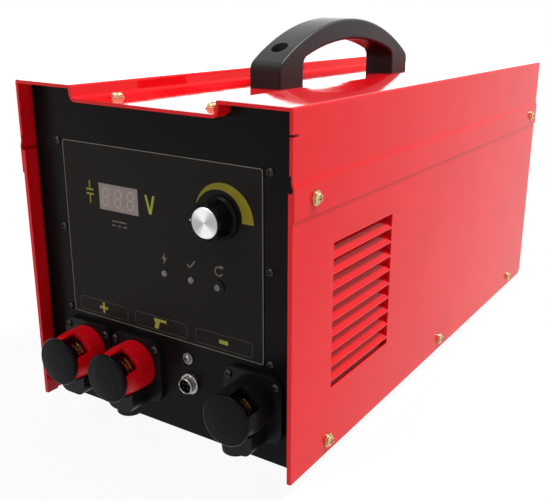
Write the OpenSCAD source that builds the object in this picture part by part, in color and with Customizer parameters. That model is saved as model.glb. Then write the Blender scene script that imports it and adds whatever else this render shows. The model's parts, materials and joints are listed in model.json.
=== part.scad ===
// Capacitor-discharge stud welder in a folded sheet-metal case.
// Lengths in millimetres, +Z up, ground at z = 0, +Y to the rear, front posts towards -Y.

/* [Case] */
// Width over the side panels
case_w = 238; // [234:1:280]
// Depth from the cover's front edge to its rear edge
case_d = 506; // [500:1:600]
// Height from the lower edge of the sides to the ridges
case_h = 250; // [246:1:300]
// Lower edge of the sides above the ground
ground_gap = 10; // [8:0.5:16]
// Thickness of the painted sheet
sheet = 1.2; // [1:0.1:1.5]
// Outer radius of the sheet's bends
bend_r = 2; // [1.75:0.25:3]
// Width of the channel sunk in the cover, at its floor
channel_w = 124; // [110:1:140]
// Depth of the channel below the ridges
channel_drop = 9; // [8:0.5:14]
// Sideways run of each channel wall
channel_slope = 1; // [0.5:0.5:6]
// Height of the cover's skirt
skirt_h = 68; // [60:1:80]
// Height of the skirt's band that laps over the side panels
band_h = 20; // [14:1:24]
// Height of the joggle above the band
joggle_h = 4; // [3:0.5:8]
// Length of the hems folded in at the front and rear edges
hem_l = 10; // [6:0.5:11]
// Thickness that a hem adds inside the sides' edges
hem_t = 2; // [1:0.1:2.4]
// How far the side panels reach up behind the skirt
side_lap = 17; // [15:0.5:19]
// Radius of the side panels' lower rear corner
corner_r = 7; // [3:0.5:12]

/* [Louvres] */
// Louvres in each side panel
louvre_n = 10; // [6:1:12]
// Length of a louvre
louvre_l = 88; // [60:1:100]
// Share of the louvres' pitch that is open
louvre_open = 0.9; // [0.7:0.02:0.92]
// How far a louvre's fin leans in
louvre_depth = 7.5; // [5:0.5:7.5]
// Rise of a louvre's fin as a share of the louvres' pitch
louvre_lean = 0.74; // [0.5:0.02:0.76]
// Thickness of a louvre's fin and cheeks
fin_t = 1.2; // [0.8:0.1:1.4]
// First louvre above the lower edge of the sides
louvre_z = 44; // [40:1:56]
// Share of the lowest louvre's pitch that stays shut
louvre_shut = 0.48; // [0:0.04:0.6]
// Space between the louvres and the skirt
louvre_gap = 24.5; // [20:0.5:30]
// Louvres behind the front edge
louvre_y = 50.5; // [46:0.5:70]

/* [Panels and tray] */
// Front and rear panels set back from the cover's edges
panel_recess = 12.5; // [12:0.5:16]
// Thickness of the front and rear panels
panel_t = 2; // [1.5:0.1:2.4]
// Lower edge of the panels and tray above the sides' lower edge
panel_lift = 2.5; // [1.5:0.5:4]
// Gap between a panel's edge and the sheet beside it
panel_fit = 0.2; // [0.1:0.05:0.5]
// Depth of the panels' folded flanges
flange_l = 24; // [22:1:34]
// Height of the tray's upturned flanges
tray_flange = 20; // [16:1:26]

/* [Screws] */
// Radius of the case screws' shanks
screw_r = 2; // [1.5:0.1:2.1]
// Radius of the case screws' heads
screw_head_r = 4; // [3.6:0.1:4.5]
// Height of the case screws' heads
screw_head_h = 2.8; // [2:0.1:3.2]
// Radius of the case screws' washers
washer_r = 5; // [4.6:0.1:6]
// Thickness of the case screws' washers
washer_t = 1; // [0.6:0.1:1.4]
// Radial play of a screw in its hole
screw_play = 0.25; // [0.15:0.05:0.5]
// Band screws behind the front edge
band_screw_front = 24.5; // [20:0.5:32]
// Band screws ahead of the rear edge
band_screw_rear = 19; // [17:0.5:30]
// Band screws above the skirt's lower edge
band_screw_up = 10.5; // [8:0.5:12]
// Channel screws from the middle
top_screw_x = 42.5; // [30:0.5:48]
// Channel screws in from the cover's edges
top_screw_y = 23; // [21:0.5:27]
// Lower side screws in from the edges
side_screw_y = 48; // [44:0.5:60]
// Lower side screws above the sides' lower edge
side_screw_z = 9.5; // [9:0.5:14]

/* [Feet] */
// Radius of a rubber foot at its top
foot_r = 12; // [11:0.5:13]
// Taper of a foot's radius
foot_taper = 1.5; // [0:0.5:3]
// Feet from the middle
foot_x = 53; // [40:1:90]
// Feet in from the cover's edges
foot_y = 28; // [27:1:60]
// Radius of the foot screws' shanks
foot_screw_r = 2.5; // [2:0.1:3]

/* [Handle] */
// Length of the handle
handle_l = 236; // [200:1:260]
// Width of the handle
handle_w = 30; // [24:0.5:36]
// Height of the handle above the channel floor
handle_h = 54; // [48:0.5:64]
// Thickness of the grip at its middle
grip_t = 18; // [12:0.5:20]
// Length of each handle foot
handle_foot = 36; // [30:0.5:42]
// Handle behind the middle of the cover
handle_back = 5; // [0:0.5:10]
// Height of the outer shoulder
shoulder_h = 19; // [16:0.5:24]
// Height of the inner shoulder
inner_h = 22; // [16:0.5:26]
// Radius of the shoulders
shoulder_r = 9; // [5:0.5:10]
// Handle bolts in from the handle's ends
handle_bolt_in = 22; // [18:0.5:23]
// Radius of the handle bolts
handle_bolt_r = 3; // [2.5:0.1:3.5]
// Radius of the deep holes over the handle bolts
handle_hole_r = 7; // [6.5:0.1:8]
// Floor left under the deep holes
handle_seat = 10; // [6:0.5:12]

/* [Control panel] */
// Width of the overlay
overlay_w = 179; // [160:1:184]
// Lower edge of the overlay above the sides' lower edge
overlay_z0 = 74.8; // [72:0.2:76]
// Upper edge of the overlay below the ridges
overlay_drop = 40.8; // [38:0.2:48]
// Thickness of the overlay
overlay_t = 0.5; // [0.3:0.1:0.6]
// Width of the display's face
display_w = 37.8; // [34:0.2:40]
// Height of the display's face
display_h = 19.6; // [17:0.2:21]
// Display left of the middle
display_x = -36.4; // [-40:0.2:-34]
// Display's middle up the overlay, as a share of its height
display_up = 0.716; // [0.68:0.002:0.74]
// Knob right of the middle
knob_x = 55.2; // [52:0.1:58]
// Knob's axis up the overlay, as a share of its height
knob_up = 0.725; // [0.68:0.001:0.74]
// Radius of the knob
knob_r = 13; // [12:0.1:14]
// Flutes round the voltage knob's grip
knob_flutes = 8; // [6:1:12]
// Radius of a flute
flute_r = 5; // [3:0.5:6]
// Depth of a flute
flute_depth = 1.8; // [1:0.1:2]
// Front of the knob's body ahead of the panel
knob_reach = 16; // [14:0.2:18]
// Radius of the knob's skirt
knob_skirt_r = 15; // [13:0.5:17]
// Radius of the knob's cap
cap_r = 10.4; // [9:0.1:11]
// Thickness of the knob's cap
cap_t = 1.4; // [1:0.1:3]
// Radius of the potentiometer's shaft
shaft_r = 3; // [2.5:0.1:3.2]
// First lamp right of the middle
lamp_x = 4.9; // [2:0.1:8]
// Distance from lamp to lamp, and on to the reset button
lamp_pitch = 24; // [20:0.5:25]
// Lamps and reset button up the overlay, as a share of its height
lamp_up = 0.362; // [0.34:0.002:0.4]
// Radius of the lamps
lamp_r = 2.5; // [1.5:0.1:2.8]
// Radius of the reset button
button_r = 2.3; // [1.8:0.1:2.5]
// Travel of the reset button
button_travel = 1.2; // [0.6:0.1:1.4]
// Panel screws from the middle
panel_screw_x = 94.5; // [94.2:0.1:98]
// Outer rows of panel screws in from the overlay's edges
panel_screw_in = 1.9; // [0:0.1:6]
// Radius of the panel screws' shanks
small_screw_r = 1.5; // [1.2:0.1:1.7]
// Radius of the panel screws' heads
small_head_r = 2.8; // [2.4:0.1:3]

/* [Output row] */
// Plus post left of the middle
plus_x = -74; // [-76:0.5:-74]
// Gun post left of the middle
gun_x = -24.5; // [-25.5:0.5:-24]
// Minus post right of the middle
minus_x = 81.7; // [76:0.1:84]
// Posts' axes above the sides' lower edge
post_z = 47.5; // [46:0.5:48]
// Outer radius of a guard
guard_r = 18.5; // [17.5:0.1:19]
// Wall of a guard
guard_wall = 4; // [3:0.1:4.4]
// Length of a guard
guard_l = 25; // [23:0.5:26]
// How far a guard's nose narrows, as a share of its wall
guard_nose = 0.6; // [0.2:0.05:0.7]
// Bottom of a post's lug below its axis
chin = 30.5; // [28:0.5:33]
// Half width of a post's lug
chin_half = 12.9; // [10:0.1:14]
// Length of a post's lug
chin_l = 18.4; // [14:0.2:22]
// Thickness of a base's flange
base_t = 4; // [3:0.2:5]
// Half width of a base's flange
base_half = 24; // [23:0.1:24.4]
// Post screws beside the axis
post_screw_x = 19.5; // [19:0.1:20]
// Post screws above the axis
post_screw_up = 16; // [15:0.1:17]
// Length of a post screw
post_screw_l = 10; // [8:1:12]
// Width of a guard's slot
slot_w = 19; // [14:0.5:20]
// Depth of a guard's slot from its front
slot_l = 11.5; // [10:0.5:15]
// Direction of a guard's slot above the sideways axis
slot_angle = 54; // [50:1:66]
// Radius of a post's stud
stud_r = 5; // [4.5:0.1:5.2]
// Radius of a clamp knob
clamp_r = 18.5; // [17:0.1:22]
// Thickness of a clamp knob's rim
clamp_rim = 1.8; // [1.6:0.1:6]
// Rounding between a clamp knob's rim and its face
clamp_round = 2.2; // [1:0.1:3]
// Crown of a clamp knob's face
clamp_crown = 1; // [0.5:0.1:3]
// Radius of a clamp knob's neck
neck_r = 9.5; // [8:0.1:10]
// Running clearance on the studs and shafts
running = 0.05; // [0.03:0.01:0.08]
// Control socket right of the middle
socket_x = 25; // [22:0.5:32]
// Control socket's axis above the sides' lower edge
socket_z = 43.8; // [42:0.2:46]
// Radius of the control socket's threaded shell
socket_r = 6; // [5.5:0.1:8]
// Length of the shell ahead of the panel
socket_l = 7.2; // [6:0.2:12]
// Wall of the shell
socket_wall = 1; // [0.8:0.1:1.4]
// Radius of the collar round the shell
collar_r = 7.8; // [7:0.1:9]
// Thickness of the collar
collar_t = 3; // [1.5:0.1:4]
// Earth screw beside the control socket
earth_x = -1.7; // [-3:0.1:0]
// Earth screw above the control socket
earth_up = 19; // [18:0.1:20]
// Radius of the earth screw's washer
earth_washer_r = 4.4; // [4:0.1:5]

/* [Inside] */
// Radius of a capacitor can
can_r = 25; // [22:0.5:25]
// Height of a capacitor can
can_h = 105; // [90:1:110]
// Gap between capacitor cans
can_gap = 4; // [3:0.5:4]
// Length of the heatsink
sink_l = 78; // [60:1:90]
// Thickness of the copper bars
bar_t = 3; // [2:0.5:4]
// Width of the fan's frame
fan_w = 92; // [92:1:92]
// Thickness of the fan's frame
fan_t = 25; // [24:0.5:26]
// Fan's axis up the case, as a share of its height
fan_up = 0.6; // [0.56:0.01:0.64]
// Blades of the fan
blade_n = 7; // [5:1:9]
// Bore of the cable gland
gland_bore_r = 4.5; // [3.5:0.1:5]
// Length of the cable gland behind the rear panel
gland_l = 20; // [18:0.5:26]

/* [Hidden] */
$fn = 48;

// Case datum planes
half_w = case_w / 2;
inner_x = half_w - sheet;
z_lo = ground_gap;
z_top = z_lo + case_h;
floor_z = z_top - channel_drop;
under_z = floor_z - sheet;
half_channel = channel_w / 2;
side_h = case_h - skirt_h + side_lap;
band_screw_z = case_h - skirt_h + band_screw_up;
louvre_pitch = (case_h - skirt_h - louvre_z - louvre_gap) / louvre_n;
louvre_h = louvre_open * louvre_pitch;
louvre_rise = louvre_lean * louvre_pitch;
tray_z = z_lo + panel_lift;
tray_top = tray_z + sheet;

// Output post stations, as distances ahead of the front panel
boss_s = base_t + 6;
seat_s = boss_s + 8;
clamp_gap = 1.5;
washer_s = seat_s + clamp_gap;
neck_s = washer_s + 2;
guard_s = base_t + guard_l;
clamp_s = guard_s + 1.6;
clamp_front = clamp_s + clamp_rim + clamp_round + clamp_crown;
bore_s = clamp_front - 2;
stud_front = bore_s - clamp_gap - 0.6;

// Places along Y
front_reach = clamp_front - panel_recess;
rear_reach = gland_l - panel_recess;
front_y = (front_reach - case_d - rear_reach) / 2;
rear_y = front_y + case_d;
panel_y = front_y + panel_recess;
panel_back = panel_y + panel_t;
back_y = rear_y - panel_recess;
back_in = back_y - panel_t;
handle_y = (front_y + rear_y) / 2 + handle_back;

// Output row
post_x = [plus_x, gun_x, minus_x];
axis_z = z_lo + post_z;
socket_axis = z_lo + socket_z;
hole_fit = 0.1;
bush_r = 10.5;
boss_r = 11;
guard_play = 0.3;
bush_end = panel_back + 2;
nut_t = 8;
link_y = bush_end + nut_t;
stud_end = link_y + bar_t + nut_t + 3;

// Control panel
overlay_z1 = case_h - overlay_drop;
overlay_h = overlay_z1 - overlay_z0;
display_z = overlay_z0 + display_up * overlay_h;
knob_z = overlay_z0 + knob_up * overlay_h;
lamp_z = overlay_z0 + lamp_up * overlay_h;
panel_screw_z = overlay_z0 + panel_screw_in;
panel_screw_pitch = overlay_h / 2 - panel_screw_in;
board_gap = 10;
board_t = 1.6;
board_y = panel_back + board_gap;
bushing_r = 4.5;
bushing_s = 6.5;
nut_s = overlay_t + 2.4;
knob_gap = 0.8;
reset_x = lamp_x + 2 * lamp_pitch;
reset_r = 3.5;
reset_bezel = 1.3;
reset_deep = 6;
button_proud = 0.4;

// Inside
can_pitch = 2 * can_r + can_gap;
column_count = 4;
row_count = 3;
frame_rim = 6;
frame_up = 45;
bank_half_x = (column_count - 1) / 2 * can_pitch + can_r;
bank_half_y = (row_count - 1) / 2 * can_pitch + can_r;
terminal_dy = 10;
terminal_r = 5;
terminal_h = 6;
bar_z = tray_top + can_h + terminal_h;
bar_w = 14;
link_w = 12;
tab_half = 10;
link_x = bank_half_x + 4;
sink_h = 40;
module_h = 30;
module_half = 17;
tap_pitch = 28;
tap_r = 7;
resistor_r = 14;
core_x = 80;
core_y = 40;
core_z = 66;
window_x = 13;
window_at = 19.5;
coil_over = 11;

// Inner pieces along Y, with the spare length shared out as gaps between them
bank_l = 2 * (bank_half_y + frame_rim);
coil_l = core_y + 2 * coil_over;
spare = back_in - stud_end - sink_l - bank_l - coil_l - fan_t;
sink_y0 = stud_end + 0.28 * spare;
sink_y1 = sink_y0 + sink_l;
bank_mid = sink_y1 + 0.38 * spare + bank_l / 2;
transformer_y = bank_mid + bank_l / 2 + 0.21 * spare + coil_l / 2;
pcb_y0 = stud_end + 0.2 * spare;
pcb_y1 = bank_mid - bank_l / 2 - 0.14 * spare;
pcb_l = pcb_y1 - pcb_y0;
fan_z = fan_up * case_h;

// Direction of a vector, and the vector a quarter turn to its left
function unit(v) = v / norm(v);
function turn_left(v) = [-v[1], v[0]];

// Points round a corner at p1, on the way from p0 to p2, at radius r
function bend(p0, p1, p2, r, n = 5) =
    let (d0 = unit(p0 - p1),
         d1 = unit(p2 - p1),
         half = acos(d0 * d1) / 2,
         centre = p1 + unit(d0 + d1) * r / sin(half),
         s = p1 + d0 * r / tan(half) - centre,
         e = p1 + d1 * r / tan(half) - centre,
         a0 = atan2(s[1], s[0]),
         turn = atan2(e[1], e[0]) - a0,
         sweep = turn > 180 ? turn - 360 : turn < -180 ? turn + 360 : turn)
    [for (i = [0:n]) centre + r * [cos(a0 + sweep * i / n), sin(a0 + sweep * i / n)]];

// An open path with its inner corners rounded
function rounded_path(p, r) =
    [p[0], for (i = [1:len(p) - 2]) each bend(p[i - 1], p[i], p[i + 1], r), p[len(p) - 1]];

// A closed outline with its corners rounded
function rounded_loop(p, r) =
    let (n = len(p))
    [for (i = [0:n - 1]) each bend(p[(i + n - 1) % n], p[i], p[(i + 1) % n], r)];

// Sheet between two offsets to the left of a path
function side_at(p, i) = turn_left(unit(p[i + 1] - p[i]));
function miter(p, i) =
    let (a = side_at(p, max(i - 1, 0)),
         b = side_at(p, min(i, len(p) - 2)))
    (a + b) / (1 + a * b);
function strip(p, d0, d1) = concat(
    [for (i = [0:len(p) - 1]) p[i] + d0 * miter(p, i)],
    [for (i = [len(p) - 1:-1:0]) p[i] + d1 * miter(p, i)]);

// A path run backwards, and a path mirrored across its middle
function reversed(p) = [for (i = [len(p) - 1:-1:0]) p[i]];
function across(p) = [for (q = p) [-q[0], q[1]]];

// Corners of a rectangle
function box_loop(x0, y0, x1, y1) = [[x0, y0], [x1, y0], [x1, y1], [x0, y1]];

// Points of an arc, h0 high at its ends and h1 at its middle, cut short at both ends by trim
function bow(half, h0, h1, trim, n = 36) =
    let (r = (half * half + (h1 - h0) * (h1 - h0)) / (2 * (h1 - h0)),
         a = asin(half / r) * trim)
    [for (i = [0:n]) [r * sin(a * (2 * i / n - 1)), h1 - r + r * cos(a * (2 * i / n - 1))]];

// Extrusions of an X-Z outline along Y, and of a Y-Z outline along X
module along_y(y0, y1) {
    translate([0, y1, 0]) rotate([90, 0, 0]) linear_extrude(y1 - y0) children();
}
module along_x(x0, x1) {
    translate([x0, 0, 0]) rotate([90, 0, 90]) linear_extrude(x1 - x0) children();
}

// Rods along Y and Z
module rod_y(x, z, y0, y1, r) {
    translate([x, y1, z]) rotate([90, 0, 0]) cylinder(r = r, h = y1 - y0);
}
module rod_z(x, y, z0, z1, r) {
    translate([x, y, z0]) cylinder(r = r, h = z1 - z0);
}

// A turned piece on an axis along Y; its profile is [radius, distance ahead of the panel]
module turned_front(x, z, profile) {
    translate([x, panel_y, z]) rotate([90, 0, 0]) rotate_extrude() polygon(profile);
}

// A hexagon bar along Y between two distances ahead of the panel
module hex_front(x, z, s0, s1, r) {
    translate([x, panel_y - s0, z]) rotate([90, 0, 0]) cylinder(r = r, h = s1 - s0, $fn = 6);
}

// A box given by its two corners
module block(a, b) {
    translate(a) cube(b - a);
}

// Cross recess in the top of a screw head
module cross_recess(r, top) {
    slot = 0.55 * r;
    for (a = [0, 90]) rotate(a) translate([-r, -slot / 2, top - 1.3]) cube([2 * r, slot, 2]);
}

// Round-headed screw with its washer under the head, seat at z = 0
module case_screw(l) {
    top = washer_t + screw_head_h;
    difference() {
        rotate_extrude() polygon([[0, -l], [screw_r, -l], [screw_r, 0], [washer_r, 0], [washer_r, washer_t],
            [screw_head_r, washer_t], [screw_head_r, washer_t + screw_head_h * 0.45],
            [screw_head_r * 0.72, washer_t + screw_head_h * 0.86], [screw_head_r * 0.35, top], [0, top]]);
        cross_recess(screw_head_r * 0.6, top);
    }
}

// Small round-headed screw without a washer, seat at z = 0
module small_screw(l, h = 2) {
    difference() {
        rotate_extrude() polygon([[0, -l], [small_screw_r, -l], [small_screw_r, 0], [small_head_r, 0],
            [small_head_r, h * 0.4], [small_head_r * 0.7, h * 0.85], [small_head_r * 0.3, h], [0, h]]);
        cross_recess(small_head_r * 0.6, h);
    }
}

// Places of the case screws
function band_screw_ys() = [front_y + band_screw_front, rear_y - band_screw_rear];
function side_screw_ys() = [front_y + side_screw_y, (front_y + rear_y) / 2, rear_y - side_screw_y];
function top_screw_ys() = [front_y + top_screw_y, rear_y - top_screw_y];
function handle_bolt_ys() =
    [for (s = [-1, 1]) handle_y + s * (handle_l / 2 - handle_bolt_in)];
function foot_ys() = [front_y + foot_y, rear_y - foot_y];

// Outer face of the cover from the right band over the ridges to the left band
function cover_half(s) = [[s * (half_w + sheet), z_top - skirt_h],
    [s * (half_w + sheet), z_top - skirt_h + band_h],
    [s * half_w, z_top - skirt_h + band_h + joggle_h],
    [s * half_w, z_top],
    [s * (half_channel + channel_slope), z_top],
    [s * half_channel, floor_z]];
function cover_corners() = concat(cover_half(1), reversed(cover_half(-1)));
function hem_corners() =
    let (p = cover_corners(), z = z_top - skirt_h + band_h + 2 * joggle_h)
    concat([[half_w, z]], [for (i = [3:8]) p[i]], [[-half_w, z]]);

module top_cover() color("red") {
    relief = [4 * sheet, 12, 1.6];
    relief_z = z_top - 2 * channel_drop;
    difference() {
        union() {
            along_y(front_y, rear_y) polygon(strip(rounded_path(cover_corners(), bend_r), 0, sheet));
            for (y = [front_y, rear_y - hem_l])
                along_y(y, y + hem_l)
                    polygon(strip(rounded_path(hem_corners(), bend_r + 1), sheet / 2, 2 * sheet));
        }
        translate([half_w, front_y, relief_z + relief[2]]) cube(relief, center = true);
        for (s = [-1, 1]) {
            for (y = band_screw_ys())
                translate([s * half_w, y, z_lo + band_screw_z]) rotate([0, 90, 0])
                    cylinder(r = screw_r + screw_play, h = 8, center = true);
            for (y = top_screw_ys())
                rod_z(s * top_screw_x, y, under_z - 2, floor_z + 2, screw_r + screw_play);
        }
        for (y = handle_bolt_ys()) rod_z(0, y, under_z - 2, floor_z + 2, handle_bolt_r + screw_play);
    }
}

// Leaning fin and its two cheeks in one louvre of the right-hand panel
module louvre_fin(z) {
    y0 = front_y + louvre_y;
    along_y(y0 - fin_t, y0 + louvre_l + fin_t)
        polygon([[half_w, z - 0.6], [half_w, z], [half_w - louvre_depth, z + louvre_rise],
            [half_w - louvre_depth, z + louvre_rise - fin_t], [half_w - sheet, z - fin_t]]);
    for (y = [y0 - fin_t, y0 + louvre_l])
        along_y(y, y + fin_t)
            polygon([[half_w - sheet / 2, z], [half_w - sheet / 2, z + louvre_h],
                [half_w - louvre_depth, z + louvre_rise + 0.6],
                [half_w - louvre_depth, z + louvre_rise - 0.6]]);
}

// Right-hand side panel
module side_panel() {
    outline = concat([[front_y, z_lo], [front_y, z_lo + side_h], [rear_y, z_lo + side_h]],
        bend([rear_y, z_lo + side_h], [rear_y, z_lo], [front_y, z_lo], corner_r));
    difference() {
        union() {
            difference() {
                union() {
                    along_x(inner_x, half_w) polygon(outline);
                    block([inner_x - hem_t, front_y, z_lo], [half_w - sheet / 2, front_y + hem_l,
                        z_lo + side_h]);
                    block([inner_x - hem_t, rear_y - hem_l, z_lo + corner_r],
                        [half_w - sheet / 2, rear_y, z_lo + side_h]);
                }
                for (i = [0:louvre_n - 1]) {
                    z = z_lo + louvre_z + i * louvre_pitch;
                    block([inner_x - 1, front_y + louvre_y, z + (i == 0 ? louvre_shut * louvre_pitch : 0)],
                        [half_w + 1, front_y + louvre_y + louvre_l, z + louvre_h]);
                }
            }
            for (i = [0:louvre_n - 1]) louvre_fin(z_lo + louvre_z + i * louvre_pitch);
        }
        for (y = band_screw_ys())
            translate([inner_x, y, z_lo + band_screw_z]) rotate([0, 90, 0])
                cylinder(r = screw_r + screw_play, h = 8, center = true);
        for (y = side_screw_ys())
            translate([inner_x, y, z_lo + side_screw_z]) rotate([0, 90, 0])
                cylinder(r = screw_r + screw_play, h = 8, center = true);
    }
}

module right_side_panel() color("red") side_panel();
module left_side_panel() color("red") mirror([1, 0, 0]) side_panel();

module base_tray() color("dimgray") {
    wall = [[-inner_x, tray_z + tray_flange], [-inner_x, tray_z], [inner_x, tray_z],
        [inner_x, tray_z + tray_flange]];
    end_x = inner_x - bend_r;
    difference() {
        union() {
            along_y(panel_back, back_in) polygon(strip(rounded_path(wall, bend_r), 0, sheet));
            for (y = [panel_back, back_in - sheet])
                block([-end_x, y, tray_z], [end_x, y + sheet, tray_z + tray_flange]);
        }
        for (x = [-foot_x, foot_x], y = foot_ys())
            rod_z(x, y, tray_z - 2, tray_top + 2, foot_screw_r + screw_play);
        for (s = [-1, 1], y = side_screw_ys())
            translate([s * inner_x, y, z_lo + side_screw_z]) rotate([0, 90, 0])
                cylinder(r = screw_r + screw_play, h = 8, center = true);
    }
}

// Sheet that closes one end of the case: plate, top flange and side flanges, facing -Y at y = 0
module end_panel() {
    x = inner_x - panel_fit;
    tongue = half_channel + channel_slope + sheet + 1;
    ridge_z = z_top - sheet - 2 * panel_fit;
    half_top = half_channel - bend_r - 3;
    along_y(0, panel_t)
        polygon([[-x, tray_z], [x, tray_z], [x, ridge_z], [tongue, ridge_z], [tongue, under_z],
            [-tongue, under_z], [-tongue, ridge_z], [-x, ridge_z]]);
    difference() {
        block([-half_top, 0, under_z - panel_t], [half_top, flange_l, under_z]);
        for (s = [-1, 1])
            rod_z(s * top_screw_x, top_screw_y - panel_recess, under_z - 9, under_z + 1,
                screw_r + screw_play);
    }
    for (s = [-1, 1])
        block([s > 0 ? x - panel_t : -x, 0, tray_z + tray_flange + 3],
            [s > 0 ? x : -x + panel_t, flange_l, z_top - 4 * channel_drop]);
}

// Cut through a side flange for the band screw
module flange_holes(y) {
    for (s = [-1, 1])
        translate([s * inner_x, y, z_lo + band_screw_z]) rotate([0, 90, 0])
            cylinder(r = screw_r + screw_play, h = 10, center = true);
}

module front_panel() color([0.09, 0.09, 0.1]) {
    y0 = panel_y - 1;
    y1 = panel_back + 1;
    difference() {
        translate([0, panel_y, 0]) end_panel();
        flange_holes(front_y + band_screw_front);
        block([display_x - display_w / 2 - 0.3, y0, z_lo + display_z - display_h / 2 - 0.3],
            [display_x + display_w / 2 + 0.3, y1, z_lo + display_z + display_h / 2 + 0.3]);
        rod_y(knob_x, z_lo + knob_z, y0, y1, bushing_r + hole_fit);
        for (i = [0, 1]) rod_y(lamp_x + i * lamp_pitch, z_lo + lamp_z, y0, y1, lamp_r + hole_fit);
        rod_y(reset_x, z_lo + lamp_z, y0, y1, reset_r + hole_fit);
        rod_y(socket_x, socket_axis, y0, y1, socket_r + hole_fit);
        rod_y(socket_x + earth_x, socket_axis + earth_up, y0, y1, small_screw_r + screw_play);
        for (x = post_x) {
            rod_y(x, axis_z, y0, y1, bush_r + 0.3);
            for (s = [-1, 1])
                rod_y(x + s * post_screw_x, axis_z + post_screw_up, y0, y1,
                    small_screw_r + screw_play);
        }
        for (s = [-1, 1], i = [0:2])
            rod_y(s * panel_screw_x, z_lo + panel_screw_z + i * panel_screw_pitch, y0, y1,
                small_screw_r + screw_play);
    }
}

// Rear panel fittings
fitting_in = 43;
switch_x = fitting_in - half_w;
switch_z = 0.672 * case_h;
switch_w = 25;
switch_h = 31;
gland_x = fitting_in - half_w;
gland_z = 0.248 * case_h;
gland_r = 8;
fan_hole_r = 0.475 * fan_w;
fan_screw_x = 41.25;

module rear_panel() color([0.09, 0.09, 0.1]) {
    y0 = back_in - 1;
    y1 = back_y + 1;
    difference() {
        translate([0, back_y, 0]) mirror([0, 1, 0]) end_panel();
        flange_holes(rear_y - band_screw_rear);
        rod_y(0, z_lo + fan_z, y0, y1, fan_hole_r);
        for (a = [-1, 1], b = [-1, 1])
            rod_y(a * fan_screw_x, z_lo + fan_z + b * fan_screw_x, y0, y1, small_screw_r + screw_play);
        block([switch_x - switch_w / 2 + 2, y0, z_lo + switch_z - switch_h / 2 + 2],
            [switch_x + switch_w / 2 - 2, y1, z_lo + switch_z + switch_h / 2 - 2]);
        rod_y(gland_x, z_lo + gland_z, y0, y1, gland_r + hole_fit);
    }
}

module rubber_feet() color([0.06, 0.06, 0.06]) {
    bore = foot_screw_r + screw_play;
    pocket = tray_z * 0.6;
    for (x = [-foot_x, foot_x], y = foot_ys())
        translate([x, y, 0]) rotate_extrude()
            polygon([[2.4 * foot_screw_r, 0], [foot_r - foot_taper - 1, 0], [foot_r - foot_taper, 1],
                [foot_r, tray_z], [bore, tray_z], [bore, pocket], [2.4 * foot_screw_r, pocket]]);
}

module foot_screws() color("silver") {
    head = tray_z * 0.6;
    nut = 4;
    for (x = [-foot_x, foot_x], y = foot_ys()) {
        translate([x, y, 0]) rotate_extrude()
            polygon([[0, head - 3], [2 * foot_screw_r, head - 3], [2 * foot_screw_r, head],
                [foot_screw_r, head],
                [foot_screw_r, tray_top + nut + 2], [0, tray_top + nut + 2]]);
        translate([x, y, tray_top]) difference() {
            cylinder(r = 1.8 * foot_screw_r, h = nut, $fn = 6);
            translate([0, 0, -1]) cylinder(r = foot_screw_r + running, h = nut + 2);
        }
    }
}

module cover_screws() color("goldenrod") {
    for (s = [-1, 1]) {
        for (y = band_screw_ys())
            translate([s * (half_w + sheet), y, z_lo + band_screw_z]) rotate([0, s * 90, 0]) case_screw(9);
        for (y = top_screw_ys())
            translate([s * top_screw_x, y, floor_z]) case_screw(9);
    }
}

module side_screws() color("goldenrod")
    for (s = [-1, 1], y = side_screw_ys())
        translate([s * half_w, y, z_lo + side_screw_z]) rotate([0, s * 90, 0]) case_screw(8);

module handle() color([0.12, 0.12, 0.13]) {
    half = handle_l / 2;
    gap = half - handle_foot;
    outer_bow = bow(half, shoulder_h, handle_h, 0.86);
    inner_bow = bow(gap, inner_h, handle_h - grip_t, 0.82);
    outer_corner = bend([-half, 0], [-half, shoulder_h], outer_bow[0], shoulder_r);
    inner_corner = bend([-gap, 0], [-gap, inner_h], inner_bow[0], shoulder_r);
    outer = concat([[-half, 0]], outer_corner, outer_bow, reversed(across(outer_corner)), [[half, 0]]);
    inner = concat([[-gap, 0]], inner_corner, inner_bow, reversed(across(inner_corner)), [[gap, 0]]);
    difference() {
        translate([0, handle_y, floor_z])
            along_x(-handle_w / 2, handle_w / 2) polygon(concat(outer, reversed(inner)));
        for (y = handle_bolt_ys()) {
            rod_z(0, y, floor_z - 1, floor_z + handle_h, handle_bolt_r + screw_play);
            rod_z(0, y, floor_z + handle_seat, floor_z + handle_h, handle_hole_r);
        }
    }
}

module handle_bolts() color("silver") {
    head_r = 1.7 * handle_bolt_r;
    head_h = 2 * handle_bolt_r;
    nut_h = 1.7 * handle_bolt_r;
    for (y = handle_bolt_ys()) {
        translate([0, y, floor_z + handle_seat]) difference() {
            union() {
                cylinder(r = head_r, h = head_h);
                rod_z(0, 0, -handle_seat - sheet - nut_h - 2, 1, handle_bolt_r);
            }
            translate([0, 0, head_h / 2]) cylinder(r = handle_bolt_r, h = head_h, $fn = 6);
        }
        translate([0, y, under_z - nut_h]) difference() {
            cylinder(r = 1.9 * handle_bolt_r, h = nut_h, $fn = 6);
            translate([0, 0, -1]) cylinder(r = handle_bolt_r + running, h = nut_h + 2);
        }
    }
}

module control_overlay() color([0.12, 0.1, 0.08]) {
    y0 = panel_y - overlay_t;
    difference() {
        along_y(y0, panel_y)
            polygon(rounded_loop(box_loop(-overlay_w / 2, z_lo + overlay_z0, overlay_w / 2,
                z_lo + overlay_z1), 2));
        block([display_x - display_w / 2 - 0.2, y0 - 1, z_lo + display_z - display_h / 2 - 0.2],
            [display_x + display_w / 2 + 0.2, panel_y + 1, z_lo + display_z + display_h / 2 + 0.2]);
        rod_y(knob_x, z_lo + knob_z, y0 - 1, panel_y + 1, bushing_r + hole_fit);
        for (i = [0, 1])
            rod_y(lamp_x + i * lamp_pitch, z_lo + lamp_z, y0 - 1, panel_y + 1, lamp_r + hole_fit);
        rod_y(reset_x, z_lo + lamp_z, y0 - 1, panel_y + 1, reset_r + hole_fit);
    }
}

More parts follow.
